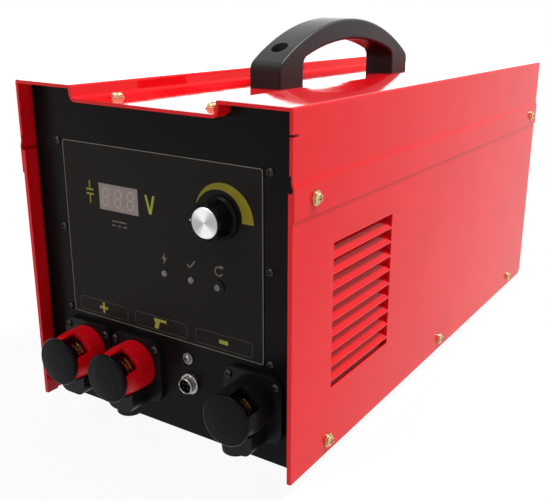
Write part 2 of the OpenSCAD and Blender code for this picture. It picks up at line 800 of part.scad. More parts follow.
module display_module() color("gray") {
    face = 0.2;
    block([display_x - display_w / 2, panel_y - face, z_lo + display_z - display_h / 2],
        [display_x + display_w / 2, board_y, z_lo + display_z + display_h / 2]);
}

// Corners of the display board
board_x0 = display_x - display_w / 2 - 15;
board_x1 = knob_x + knob_r + 10;
board_z0 = lamp_z - 12;
board_z1 = display_z + display_h / 2 + 14;

module display_board() color("darkgreen")
    block([board_x0, board_y, z_lo + board_z0], [board_x1, board_y + board_t, z_lo + board_z1]);

module potentiometer() color("silver") {
    body_r = 12;
    body_end = board_y - 0.3;
    difference() {
        union() {
            rod_y(knob_x, z_lo + knob_z, panel_back, body_end, body_r);
            rod_y(knob_x, z_lo + knob_z, panel_y - bushing_s, panel_back + 1, bushing_r);
        }
        rod_y(knob_x, z_lo + knob_z, panel_y - bushing_s - 1, panel_back + 5, shaft_r + running);
    }
}

module pot_nut() color("silver") difference() {
    hex_front(knob_x, z_lo + knob_z, overlay_t, nut_s, 7);
    rod_y(knob_x, z_lo + knob_z, panel_y - nut_s - 1, panel_y, bushing_r + running);
}

module pot_shaft() color("silver")
    rod_y(knob_x, z_lo + knob_z, panel_y - knob_reach + 2, panel_back + 4, shaft_r);

module knob_body() color([0.07, 0.07, 0.07]) {
    rear = overlay_t + knob_gap;
    cavity_r = 8.2;
    flute_arm = knob_r - flute_depth + flute_r;
    difference() {
        turned_front(knob_x, z_lo + knob_z, [[cavity_r, rear], [knob_skirt_r, rear],
            [knob_skirt_r, rear + 1.2], [knob_r + 0.8, rear + 2.6], [knob_r, rear + 3.6],
            [knob_r - 0.4, knob_reach - 0.8], [knob_r - 1.2, knob_reach], [0, knob_reach],
            [0, knob_reach - 2], [shaft_r, knob_reach - 2], [shaft_r, bushing_s + 1],
            [cavity_r, bushing_s + 1]]);
        for (i = [0.5:knob_flutes])
            rod_y(knob_x + flute_arm * cos(360 * i / knob_flutes),
                z_lo + knob_z + flute_arm * sin(360 * i / knob_flutes),
                panel_y - knob_reach - 1, panel_y - rear - 3, flute_r);
    }
}

module knob_cap() color("lightgray") {
    shoulder = knob_reach + 0.6 * cap_t;
    face = knob_reach + 0.85 * cap_t;
    turned_front(knob_x, z_lo + knob_z, [[0, knob_reach], [cap_r, knob_reach], [cap_r, shoulder],
        [cap_r - 0.5, knob_reach + cap_t], [cap_r - 1.2, face], [0, face]]);
}

module indicator_lamps() color([0.6, 0.15, 0.1])
    for (i = [0, 1])
        turned_front(lamp_x + i * lamp_pitch, z_lo + lamp_z, concat([[0, -panel_t - board_gap],
            [lamp_r + 0.4, -panel_t - board_gap], [lamp_r + 0.4, -panel_t - 1], [lamp_r, -panel_t - 1]],
            [for (a = [0:15:90]) [lamp_r * cos(a), overlay_t + 0.4 + 1.6 * sin(a)]]));

module reset_switch() color([0.15, 0.15, 0.16]) {
    bore = button_r + 0.3;
    body_r = reset_r + 2.5;
    bezel_r = reset_r + 1.2;
    rear = -panel_t - board_gap;
    front = overlay_t + reset_bezel;
    floor_s = -panel_t - reset_deep;
    turned_front(reset_x, z_lo + lamp_z, [[0, rear], [body_r, rear], [body_r, -panel_t],
        [reset_r, -panel_t], [reset_r, overlay_t], [bezel_r, overlay_t], [bezel_r, overlay_t + 0.8],
        [reset_r + 0.6, front], [bore, front], [bore, floor_s], [0, floor_s]]);
}

module reset_button() color([0.5, 0.5, 0.5]) {
    top = overlay_t + reset_bezel + button_travel + button_proud;
    foot = button_travel + button_proud - panel_t - reset_deep;
    turned_front(reset_x, z_lo + lamp_z, [[0, foot], [button_r, foot], [button_r, top - 0.5],
        [button_r - 0.5, top], [0, top]]);
}

socket_bore = socket_r - socket_wall;
socket_back = 9;

module socket_shell() color("silver") {
    rear = -panel_t - socket_back;
    turned_front(socket_x, socket_axis, [[socket_bore, rear], [socket_r, rear],
        [socket_r, 0], [collar_r, 0], [collar_r, collar_t - 0.5], [collar_r - 0.5, collar_t],
        [socket_r, collar_t], [socket_r, socket_l - 0.6], [socket_r - 0.5, socket_l],
        [socket_bore + 0.3, socket_l], [socket_bore, socket_l - 0.4]]);
}

module socket_insert() color([0.1, 0.1, 0.1]) {
    face = socket_l - 5;
    rear = -panel_t - socket_back - 2;
    pin_r = 0.8;
    pin_arm = 0.52 * socket_bore;
    turned_front(socket_x, socket_axis, [[0, rear], [socket_bore, rear], [socket_bore, face], [0, face]]);
    for (a = [45:90:315])
        rod_y(socket_x + pin_arm * cos(a), socket_axis + pin_arm * sin(a), panel_y - socket_l + 1,
            panel_y - face + 1, pin_r);
}

module socket_nut() color("silver") difference() {
    hex_front(socket_x, socket_axis, -panel_t - 3, -panel_t, socket_r + 3);
    rod_y(socket_x, socket_axis, panel_y, panel_back + 4, socket_r + running);
}

module panel_screws() color([0.1, 0.1, 0.1]) {
    for (s = [-1, 1], i = [0:2])
        translate([s * panel_screw_x, panel_y, z_lo + panel_screw_z + i * panel_screw_pitch])
            rotate([90, 0, 0]) small_screw(7);
    for (a = [-1, 1], b = [-1, 1])
        translate([a * fan_screw_x, back_y + guard_wire, z_lo + fan_z + b * fan_screw_x])
            rotate([-90, 0, 0]) small_screw(12);
}

module earth_screw() color("silver")
    translate([socket_x + earth_x, panel_y, socket_axis + earth_up]) rotate([90, 0, 0]) {
        cylinder(r = earth_washer_r, h = washer_t);
        translate([0, 0, washer_t]) small_screw(8);
    }

// Lug under a guard, as an outline about the post's axis
module lug_outline() difference() {
    polygon(concat([[chin_half, -guard_r / 2], [-chin_half, -guard_r / 2]],
        bend([-chin_half, 0], [-chin_half, -chin], [chin_half, -chin], chin_half * 0.6),
        bend([-chin_half, -chin], [chin_half, -chin], [chin_half, 0], chin_half * 0.6)));
    circle(r = guard_r + guard_play);
}

module post_bases() color([0.08, 0.08, 0.09])
    for (x = post_x)
        translate([x, 0, axis_z]) difference() {
            union() {
                along_y(panel_y - base_t, panel_y)
                    polygon(rounded_loop(box_loop(-base_half, -base_half - 3, base_half, base_half - 2), 9));
                along_y(panel_y - base_t - chin_l, panel_y - base_t + 1) lug_outline();
                rod_y(0, 0, panel_y - boss_s, panel_y, boss_r);
                rod_y(0, 0, panel_y - 1, bush_end, bush_r);
            }
            rod_y(0, 0, panel_y - boss_s - 1, bush_end + 1, stud_r + hole_fit);
            for (s = [-1, 1])
                rod_y(s * post_screw_x, post_screw_up, panel_y - base_t - 1, panel_y + 1,
                    small_screw_r + screw_play);
        }

module guard(x) translate([x, 0, axis_z]) {
    web = 3;
    bore = guard_r - guard_wall;
    difference() {
        turned_front(0, 0, [[bore, base_t], [guard_r, base_t], [guard_r, guard_s - guard_l / 2],
            [guard_r - guard_nose * guard_wall / 3, guard_s - guard_l / 4],
            [guard_r - guard_nose * guard_wall, guard_s], [bore, guard_s]]);
        translate([0, panel_y - guard_s, 0]) rotate([0, -slot_angle, 0])
            block([0, -1, -slot_w / 2], [guard_r + 2, slot_l, slot_w / 2]);
    }
    along_y(panel_y - base_t - web, panel_y - base_t) difference() {
        circle(r = guard_r - guard_wall / 2);
        circle(r = boss_r + guard_play);
    }
}

module plus_guard() color("red") guard(post_x[0]);
module gun_guard() color("red") guard(post_x[1]);
module minus_guard() color([0.08, 0.08, 0.09]) guard(post_x[2]);

module post_studs() color("gold")
    for (x = post_x) translate([x, panel_y, axis_z]) rotate([90, 0, 0]) rotate_extrude()
        polygon([[0, panel_y - stud_end], [stud_r, panel_y - stud_end], [stud_r, stud_front - 1],
            [stud_r - 1, stud_front], [0, stud_front]]);

module post_nuts() color("gold") {
    bore = stud_r + running;
    for (x = post_x) {
        difference() {
            union() {
                hex_front(x, axis_z, boss_s, seat_s - 1.5, 1.96 * stud_r);
                rod_y(x, axis_z, panel_y - seat_s, panel_y - seat_s + 2, 2 * stud_r);
            }
            rod_y(x, axis_z, panel_y - seat_s - 1, panel_y, bore);
        }
        for (y = [bush_end, link_y + bar_t])
            difference() {
                hex_front(x, axis_z, panel_y - y - nut_t, panel_y - y, 1.96 * stud_r);
                rod_y(x, axis_z, y - 1, y + nut_t + 1, bore);
            }
    }
}

module post_screws() color([0.15, 0.15, 0.15])
    for (x = post_x, s = [-1, 1])
        translate([x + s * post_screw_x, panel_y - base_t, axis_z + post_screw_up])
            rotate([90, 0, 0]) small_screw(post_screw_l);

module clamp_washer(x) {
    bore = stud_r + running;
    rim = neck_r - 0.3;
    front = neck_s - 0.1;
    turned_front(x, axis_z, [[bore, washer_s], [rim, washer_s], [rim, front], [bore, front]]);
}
module plus_washer() color("gold") clamp_washer(post_x[0]);
module gun_washer() color("gold") clamp_washer(post_x[1]);
module minus_washer() color("gold") clamp_washer(post_x[2]);

module clamp_knob(x) {
    bore = stud_r + running;
    edge = 1.5;
    shoulder = clamp_s + clamp_rim;
    turned_front(x, axis_z, concat([[bore, neck_s], [neck_r, neck_s], [neck_r, clamp_s],
        [clamp_r - edge, clamp_s], [clamp_r, clamp_s + edge]],
        [for (a = [0:15:90]) [clamp_r - clamp_round + clamp_round * cos(a), shoulder + clamp_round * sin(a)]],
        [[clamp_r * 0.5, clamp_front - clamp_crown * 0.25], [0, clamp_front], [0, bore_s], [bore, bore_s]]));
}
module plus_clamp() color([0.1, 0.1, 0.11]) clamp_knob(post_x[0]);
module gun_clamp() color([0.1, 0.1, 0.11]) clamp_knob(post_x[1]);
module minus_clamp() color([0.1, 0.1, 0.11]) clamp_knob(post_x[2]);

// Middles of the capacitor cans
function can_places() = [for (i = [0:column_count - 1], j = [0:row_count - 1])
    [(i - (column_count - 1) / 2) * can_pitch, bank_mid + (j - (row_count - 1) / 2) * can_pitch]];
function can_rows() = [for (j = [0:row_count - 1]) bank_mid + (j - (row_count - 1) / 2) * can_pitch];

module capacitor_bank() color("steelblue")
    for (p = can_places()) translate([p[0], p[1], tray_top]) {
        rotate_extrude() polygon([[0, 0], [can_r - 1, 0], [can_r, 1], [can_r, can_h - 1],
            [can_r - 1, can_h], [can_r - 3, can_h], [can_r - 3, can_h - 2], [0, can_h - 2]]);
        for (s = [-1, 1]) rod_z(0, s * terminal_dy, can_h - 3, can_h + terminal_h, terminal_r);
    }

module capacitor_frame() color("peru") {
    plate_z = tray_top + frame_up;
    half_x = bank_half_x + frame_rim;
    half_y = bank_half_y + frame_rim;
    leg = 7;
    difference() {
        union() {
            block([-half_x, bank_mid - half_y, plate_z], [half_x, bank_mid + half_y, plate_z + 4]);
            for (s = [-1, 1], t = [-1, 1])
                translate([s * (half_x - leg / 2), bank_mid + t * (half_y - leg / 2),
                    (tray_top + plate_z + 1) / 2])
                    cube([leg, leg, plate_z + 1 - tray_top], center = true);
        }
        for (p = can_places()) rod_z(p[0], p[1], plate_z - 1, plate_z + 5, can_r + 0.3);
    }
}

// Comb of copper bars over one row of terminals, with its link forward to an output post
module busbar(s, x) {
    bar_end = (column_count - 1) / 2 * can_pitch + bar_w / 2;
    bar = s > 0 ? [-bar_end, link_x] : [-link_x, bar_end];
    side = s > 0 ? [link_x - link_w, link_x] : [-link_x, link_w - link_x];
    rows = [for (y = can_rows()) y + s * terminal_dy];
    top = bar_z + bar_t;
    tab_z = axis_z - tab_half;
    for (y = rows) block([bar[0], y - bar_w / 2, bar_z], [bar[1], y + bar_w / 2, top]);
    block([side[0], link_y, bar_z], [side[1], rows[row_count - 1], top]);
    block([side[0], link_y, tab_z], [side[1], link_y + bar_t, top]);
    difference() {
        block([min(side[0], x - tab_half), link_y, tab_z],
            [max(side[1], x + tab_half), link_y + bar_t, axis_z + tab_half]);
        rod_y(x, axis_z, link_y - 1, link_y + bar_t + 1, stud_r + hole_fit);
    }
}
module positive_busbar() color("chocolate") busbar(-1, post_x[0]);
module negative_busbar() color("chocolate") busbar(1, post_x[2]);

// Thyristor on its heatsink behind the left-hand posts
sink_x0 = -86;
sink_x1 = 4;
module_x0 = -70;
module_x1 = 0;
module_y = (sink_y0 + sink_y1) / 2;
tap_x = post_x[1];
tap_z = tray_top + sink_h + module_h + 4;

module heatsink() color("silver") {
    fin_n = 9;
    fin = 3;
    base_z = tray_top + sink_h - 10;
    pitch = (sink_x1 - sink_x0 - fin) / (fin_n - 1);
    block([sink_x0, sink_y0, base_z], [sink_x1, sink_y1, tray_top + sink_h]);
    for (i = [0:fin_n - 1]) {
        x = sink_x0 + i * pitch;
        block([x, sink_y0, tray_top], [x + fin, sink_y1, base_z + 1]);
    }
}

module thyristor() color([0.15, 0.15, 0.17]) {
    z0 = tray_top + sink_h;
    z1 = z0 + module_h;
    block([module_x0, module_y - module_half, z0], [module_x1, module_y + module_half, z1]);
    for (x = [tap_x, tap_x - tap_pitch]) rod_z(x, module_y, z1 - 1, tap_z, tap_r);
}

module gun_link() color("chocolate") {
    top = tap_z + bar_t;
    path = [[link_y, axis_z - tab_half], [link_y, top], [module_y + tap_r + 2, top]];
    difference() {
        along_x(tap_x - tab_half, tap_x + tab_half)
            polygon(strip(rounded_path(path, bar_t + 1), 0, -bar_t));
        rod_y(tap_x, axis_z, link_y - 1, link_y + bar_t + 1, stud_r + hole_fit);
    }
}

module terminal_screws() color("silver") {
    head = 4;
    for (p = can_places(), s = [-1, 1])
        translate([p[0], p[1] + s * terminal_dy, bar_z + bar_t])
            cylinder(r = terminal_r, h = head, $fn = 6);
    translate([tap_x, module_y, tap_z + bar_t]) cylinder(r = tap_r - 1, h = head, $fn = 6);
}

transformer_x = -55;

module transformer_core() color("dimgray")
    translate([transformer_x, transformer_y, tray_top]) difference() {
        block([-core_x / 2, -core_y / 2, 0], [core_x / 2, core_y / 2, core_z]);
        for (x = [-window_at, window_at])
            block([x - window_x / 2, -core_y, window_x], [x + window_x / 2, core_y, core_z - window_x]);
    }

module transformer_coil() color("saddlebrown") translate([transformer_x, transformer_y, tray_top]) {
    limb = window_at - window_x / 2;
    difference() {
        along_y(-coil_l / 2, coil_l / 2)
            polygon(box_loop(-limb - window_x + 0.2, window_x + 0.2, limb + window_x - 0.2,
                core_z - window_x - 0.2));
        block([-limb - 0.2, -core_y / 2 - 0.2, 0], [limb + 0.2, core_y / 2 + 0.2, core_z]);
    }
}

// Control board in the right-hand front of the case
pcb_x0 = 18;
pcb_x1 = 104;
pcb_w = pcb_x1 - pcb_x0;
standoff_h = 10;
pcb_z = tray_top + standoff_h;

module control_board() color("darkgreen") {
    top = pcb_z + board_t;
    block([pcb_x0, pcb_y0, pcb_z], [pcb_x1, pcb_y1, top]);
    for (i = [0:2])
        block([pcb_x0 + 0.14 * pcb_w, pcb_y0 + (0.1 + 0.2 * i) * pcb_l, top - 0.5],
            [pcb_x0 + 0.46 * pcb_w, pcb_y0 + (0.25 + 0.2 * i) * pcb_l, top + 0.19 * pcb_w]);
    for (i = [0:3])
        rod_z(pcb_x0 + 0.67 * pcb_w, pcb_y0 + (0.17 + 0.2 * i) * pcb_l, top - 0.5, top + 0.28 * pcb_w,
            0.09 * pcb_w);
    block([pcb_x1 - 0.16 * pcb_w, pcb_y0 + 0.14 * pcb_w, top - 0.5],
        [pcb_x1 - 0.05 * pcb_w, pcb_y1 - 0.14 * pcb_w, top + 0.12 * pcb_w]);
}

module board_standoffs() color("gold") {
    for (x = [pcb_x0 + 5, pcb_x1 - 5], y = [pcb_y0 + 5, pcb_y1 - 5]) rod_z(x, y, tray_top, pcb_z, 3);
    for (x = [board_x0 + 5, board_x1 - 5], z = [board_z0 + 5, board_z1 - 5])
        rod_y(x, z_lo + z, panel_back, board_y, 2.5);
}

module discharge_resistor() color("darkseagreen") {
    x0 = 24;
    x1 = 104;
    axis_up = 24;
    y = transformer_y;
    z = tray_top + axis_up;
    bracket = 2;
    translate([x0, y, z]) rotate([0, 90, 0]) difference() {
        cylinder(r = resistor_r, h = x1 - x0);
        translate([0, 0, -1]) cylinder(r = resistor_r / 2, h = x1 - x0 + 2);
    }
    for (x = [x0 - bracket, x1])
        block([x, y - 8, tray_top], [x + bracket, y + 8, z + resistor_r]);
    for (x = [x0 - bracket - 10, x1 + bracket])
        block([x - 0.5, y - 8, tray_top], [x + (x < x1 ? 10.5 : 8), y + 8, tray_top + bracket]);
}

// Fan on the inner face of the rear panel
rotor_hub_r = 18;
spider_t = 3;
fan_y0 = back_in - fan_t;

module fan_frame() color([0.1, 0.1, 0.1]) translate([0, 0, z_lo + fan_z]) {
    half = fan_w / 2;
    difference() {
        along_y(fan_y0, back_in) difference() {
            polygon(rounded_loop(box_loop(-half, -half, half, half), 4));
            circle(r = fan_hole_r + 0.3);
        }
        for (a = [-1, 1], b = [-1, 1])
            rod_y(a * fan_screw_x, b * fan_screw_x, fan_y0 - 1, back_in + 1, small_screw_r + screw_play);
    }
    rod_y(0, 0, fan_y0, fan_y0 + spider_t, rotor_hub_r);
    for (a = [45:90:315])
        rotate([0, a, 0]) block([rotor_hub_r - 2, fan_y0, -2.5], [fan_hole_r + 2, fan_y0 + spider_t, 2.5]);
    rod_y(0, 0, fan_y0 + 1, back_in - 4, shaft_r);
}

module fan_rotor() color([0.13, 0.13, 0.13]) translate([0, 0, z_lo + fan_z]) {
    y0 = fan_y0 + spider_t + 0.6;
    y1 = back_in - 2.5;
    blade = fan_hole_r - rotor_hub_r - 0.8;
    chord = 18;
    blade_t = 1.8;
    difference() {
        union() {
            rod_y(0, 0, y0, y1, rotor_hub_r);
            for (i = [0:blade_n - 1])
                rotate([0, i * 360 / blade_n, 0])
                    translate([rotor_hub_r - 1.5, (y0 + y1) / 2, 0]) rotate([40, 0, 0])
                    block([0, -chord / 2, -blade_t / 2], [blade, chord / 2, blade_t / 2]);
        }
        rod_y(0, 0, y0 - 1, back_in - 3.5, shaft_r + running);
    }
}

guard_wire = 2;

module fan_guard() color("silver") translate([0, back_y, z_lo + fan_z]) {
    rings = 4;
    step = fan_hole_r / (rings + 0.2);
    lug_at = fan_screw_x * sqrt(2);
    for (i = [1:rings])
        rotate([-90, 0, 0]) rotate_extrude() translate([i * step - guard_wire / 2, 0])
            square([guard_wire, guard_wire]);
    for (a = [45:90:315])
        difference() {
            rotate([0, a, 0]) union() {
                block([step * 0.9, 0, -guard_wire / 2], [lug_at, guard_wire, guard_wire / 2]);
                rod_y(lug_at, 0, 0, guard_wire, 4);
            }
            rotate([0, a, 0]) rod_y(lug_at, 0, -1, guard_wire + 1, small_screw_r + screw_play);
        }
}

// Rocker switch in the rear panel
rocker_r = 11;
rocker_tilt = 11;

module power_switch() color([0.1, 0.1, 0.1]) translate([switch_x, 0, z_lo + switch_z]) {
    bezel = 2;
    x = rocker_r - 2.4;
    half_x = switch_w / 2;
    half_z = switch_h / 2;
    body_in = 2.3;
    difference() {
        union() {
            block([-half_x, back_y, -half_z], [half_x, back_y + bezel, half_z]);
            block([body_in - half_x, back_in - 14, body_in - half_z],
                [half_x - body_in, back_y + 1, half_z - body_in]);
        }
        block([-x - 0.4, back_in - 10, -rocker_r - 0.7], [x + 0.4, back_y + bezel + 1, rocker_r + 0.7]);
    }
}

module power_rocker() color([0.14, 0.14, 0.14]) translate([switch_x, back_y, z_lo + switch_z]) {
    x = rocker_r - 2.4;
    face = 4.5;
    along_x(-x, x) rotate(rocker_tilt) intersection() {
        circle(r = rocker_r);
        polygon([[-6, -rocker_r], [0.5, -rocker_r], [face, 0], [0.5, rocker_r], [-6, rocker_r]]);
    }
    translate([-x - 0.35, 0, 0]) rotate([0, 90, 0]) cylinder(r = 1.5, h = 2 * x + 0.7);
}

module cable_gland() color([0.12, 0.12, 0.12]) translate([gland_x, back_y, z_lo + gland_z]) {
    hex_l = 5;
    rotate([-90, 0, 0]) difference() {
        union() {
            translate([0, 0, -panel_t - 10]) cylinder(r = gland_r, h = panel_t + 11);
            cylinder(r = gland_r + 4, h = hex_l, $fn = 6);
            rotate_extrude() polygon([[0, hex_l - 1], [gland_r + 2, hex_l - 1], [gland_r + 2, gland_l - 8],
                [gland_r - 1, gland_l], [0, gland_l]]);
        }
        translate([0, 0, -panel_t - 11]) cylinder(r = gland_bore_r, h = panel_t + gland_l + 12);
    }
    rotate([-90, 0, 0]) translate([0, 0, -panel_t - 5]) difference() {
        cylinder(r = gland_r + 4, h = 5, $fn = 6);
        translate([0, 0, -1]) cylinder(r = gland_r + running, h = 7);
    }
}

base_tray();
left_side_panel();
right_side_panel();
top_cover();
front_panel();
rear_panel();
rubber_feet();
foot_screws();
cover_screws();
side_screws();
handle();
handle_bolts();
control_overlay();
display_module();
display_board();
knob_body();
knob_cap();
pot_shaft();
potentiometer();
pot_nut();
indicator_lamps();
reset_button();
reset_switch();
socket_shell();
socket_insert();
socket_nut();
panel_screws();
earth_screw();
post_bases();
plus_guard();
gun_guard();
minus_guard();
post_studs();
post_nuts();
post_screws();
plus_washer();
gun_washer();
minus_washer();
plus_clamp();
gun_clamp();
minus_clamp();
capacitor_bank();
capacitor_frame();
positive_busbar();
negative_busbar();
gun_link();
terminal_screws();
transformer_core();
transformer_coil();
control_board();
board_standoffs();
heatsink();
thyristor();
discharge_resistor();
fan_frame();
fan_rotor();
fan_guard();
power_switch();
power_rocker();
cable_gland();
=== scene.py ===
"""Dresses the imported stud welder: materials, moulded handle, printed marks, display, light and camera."""

import json
import math

import bmesh
import bpy
from mathutils import Matrix, Vector


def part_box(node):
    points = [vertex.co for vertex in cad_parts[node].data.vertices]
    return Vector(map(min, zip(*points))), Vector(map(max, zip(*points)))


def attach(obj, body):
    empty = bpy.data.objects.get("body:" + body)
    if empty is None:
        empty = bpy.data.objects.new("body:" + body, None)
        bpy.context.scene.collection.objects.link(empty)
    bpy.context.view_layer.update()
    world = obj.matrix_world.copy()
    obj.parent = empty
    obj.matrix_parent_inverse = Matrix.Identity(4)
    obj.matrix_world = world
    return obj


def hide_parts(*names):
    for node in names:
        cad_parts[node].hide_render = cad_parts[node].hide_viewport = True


MM = 0.001

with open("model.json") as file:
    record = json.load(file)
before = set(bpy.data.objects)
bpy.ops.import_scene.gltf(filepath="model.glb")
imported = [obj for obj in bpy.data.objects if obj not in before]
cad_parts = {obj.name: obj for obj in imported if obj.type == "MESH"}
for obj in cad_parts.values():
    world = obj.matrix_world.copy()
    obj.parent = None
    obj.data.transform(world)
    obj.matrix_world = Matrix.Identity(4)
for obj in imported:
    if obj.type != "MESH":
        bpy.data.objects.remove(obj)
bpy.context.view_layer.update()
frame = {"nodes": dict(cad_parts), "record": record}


# Places taken from the solids, in metres
def corners(node):
    lo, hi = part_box(node)
    return Vector(lo), Vector(hi)


def middle(node):
    lo, hi = corners(node)
    return (lo + hi) / 2


overlay_lo, overlay_hi = corners("control_overlay")
display_lo, display_hi = corners("display_module")
lamps_lo, lamps_hi = corners("indicator_lamps")
knob_front = corners("knob_body")[0].y
knob_axis = middle("knob_cap")
side_lo = corners("right_side_panel")[0]
PRINT_Y = overlay_lo.y
SIDE_FLOOR = side_lo.z
FRONT_EDGE = side_lo.y


# Shader helpers
def new_shader(name):
    material = bpy.data.materials.new(name)
    material.use_nodes = True
    tree = material.node_tree
    return material, tree, tree.nodes["Principled BSDF"]


def object_coords(tree, stretch=(1, 1, 1)):
    coords = tree.nodes.new("ShaderNodeTexCoord")
    mapping = tree.nodes.new("ShaderNodeMapping")
    mapping.inputs["Scale"].default_value = stretch
    tree.links.new(coords.outputs["Object"], mapping.inputs["Vector"])
    return mapping.outputs["Vector"]


def noise(tree, vector, scale, detail=3.0):
    node = tree.nodes.new("ShaderNodeTexNoise")
    node.inputs["Scale"].default_value = scale
    node.inputs["Detail"].default_value = detail
    tree.links.new(vector, node.inputs["Vector"])
    return node.outputs["Fac"]


def remap(tree, value, lo, hi, from_lo=0.3, from_hi=0.7):
    node = tree.nodes.new("ShaderNodeMapRange")
    node.inputs["From Min"].default_value = from_lo
    node.inputs["From Max"].default_value = from_hi
    node.inputs["To Min"].default_value = lo
    node.inputs["To Max"].default_value = hi
    tree.links.new(value, node.inputs["Value"])
    return node.outputs["Result"]


# Sockets of the Mix node that carry colours
MIX_FACTOR = 0
MIX_FIRST = 6
MIX_SECOND = 7
MIX_RESULT = 2


def blend_colours(tree, factor, first, second):
    node = tree.nodes.new("ShaderNodeMix")
    node.data_type = "RGBA"
    tree.links.new(factor, node.inputs[MIX_FACTOR])
    for socket, colour in ((node.inputs[MIX_FIRST], first), (node.inputs[MIX_SECOND], second)):
        if isinstance(colour, tuple):
            socket.default_value = (*colour, 1)
        else:
            tree.links.new(colour, socket)
    return node.outputs[MIX_RESULT]


def math_node(tree, operation, first, second):
    node = tree.nodes.new("ShaderNodeMath")
    node.operation = operation
    for socket, value in zip(node.inputs, (first, second)):
        if isinstance(value, (int, float)):
            socket.default_value = value
        else:
            tree.links.new(value, socket)
    return node.outputs[0]


def vector_node(tree, operation, first, second=None):
    node = tree.nodes.new("ShaderNodeVectorMath")
    node.operation = operation
    tree.links.new(first, node.inputs[0])
    if isinstance(second, bpy.types.NodeSocket):
        tree.links.new(second, node.inputs[1])
    elif second is not None:
        node.inputs[1].default_value = second
    gives_number = operation in ("LENGTH", "DOT_PRODUCT")
    return node.outputs["Value" if gives_number else "Vector"]


def bump(tree, height, distance, normal=None):
    node = tree.nodes.new("ShaderNodeBump")
    node.inputs["Strength"].default_value = 1.0
    node.inputs["Distance"].default_value = distance
    tree.links.new(height, node.inputs["Height"])
    if normal is not None:
        tree.links.new(normal, node.inputs["Normal"])
    return node.outputs["Normal"]


EDGE_SAMPLES = 4
EDGE_RANGE = (0.75, 0.985)


def soft_edges(tree, radius):
    """Normal that is rounded off near the edges, and a mask that is 1 on the edges."""
    bevel = tree.nodes.new("ShaderNodeBevel")
    bevel.samples = EDGE_SAMPLES
    bevel.inputs["Radius"].default_value = radius
    geometry = tree.nodes.new("ShaderNodeNewGeometry")
    likeness = vector_node(tree, "DOT_PRODUCT", bevel.outputs["Normal"], geometry.outputs["Normal"])
    mask = remap(tree, likeness, 1.0, 0.0, *EDGE_RANGE)
    return bevel.outputs["Normal"], mask


PATCH_DETAIL = 4.0
WEAR_GRAIN = 90.0
WEAR_SHARE = (0.0, 0.8)
WEAR_RANGE = (0.42, 0.62)


def make_material(name, colour, shade, rough, grain, relief, metallic=0.0, specular=0.5,
                  coat=0.0, coat_rough=0.06, coat_ior=1.5, stretch=(1, 1, 1), patch=14.0,
                  edge=0.5 * MM, edge_colour=None):
    """Colour varies towards shade in soft patches, roughness and relief follow a fine grain."""
    material, tree, bsdf = new_shader(name)
    vector = object_coords(tree, stretch)
    patches = noise(tree, vector, patch, PATCH_DETAIL)
    fine = noise(tree, vector, grain)
    normal, mask = soft_edges(tree, edge)
    base = blend_colours(tree, remap(tree, patches, 0.0, 1.0), colour, shade)
    if edge_colour is not None:
        scuffs = remap(tree, noise(tree, vector, WEAR_GRAIN, PATCH_DETAIL), *WEAR_SHARE, *WEAR_RANGE)
        base = blend_colours(tree, math_node(tree, "MULTIPLY", mask, scuffs), base, edge_colour)
    tree.links.new(base, bsdf.inputs["Base Color"])
    tree.links.new(remap(tree, fine, *rough), bsdf.inputs["Roughness"])
    tree.links.new(bump(tree, fine, relief, normal), bsdf.inputs["Normal"])
    bsdf.inputs["Metallic"].default_value = metallic
    bsdf.inputs["Specular IOR Level"].default_value = specular
    bsdf.inputs["Coat Weight"].default_value = coat
    bsdf.inputs["Coat Roughness"].default_value = coat_rough
    bsdf.inputs["Coat IOR"].default_value = coat_ior
    return material


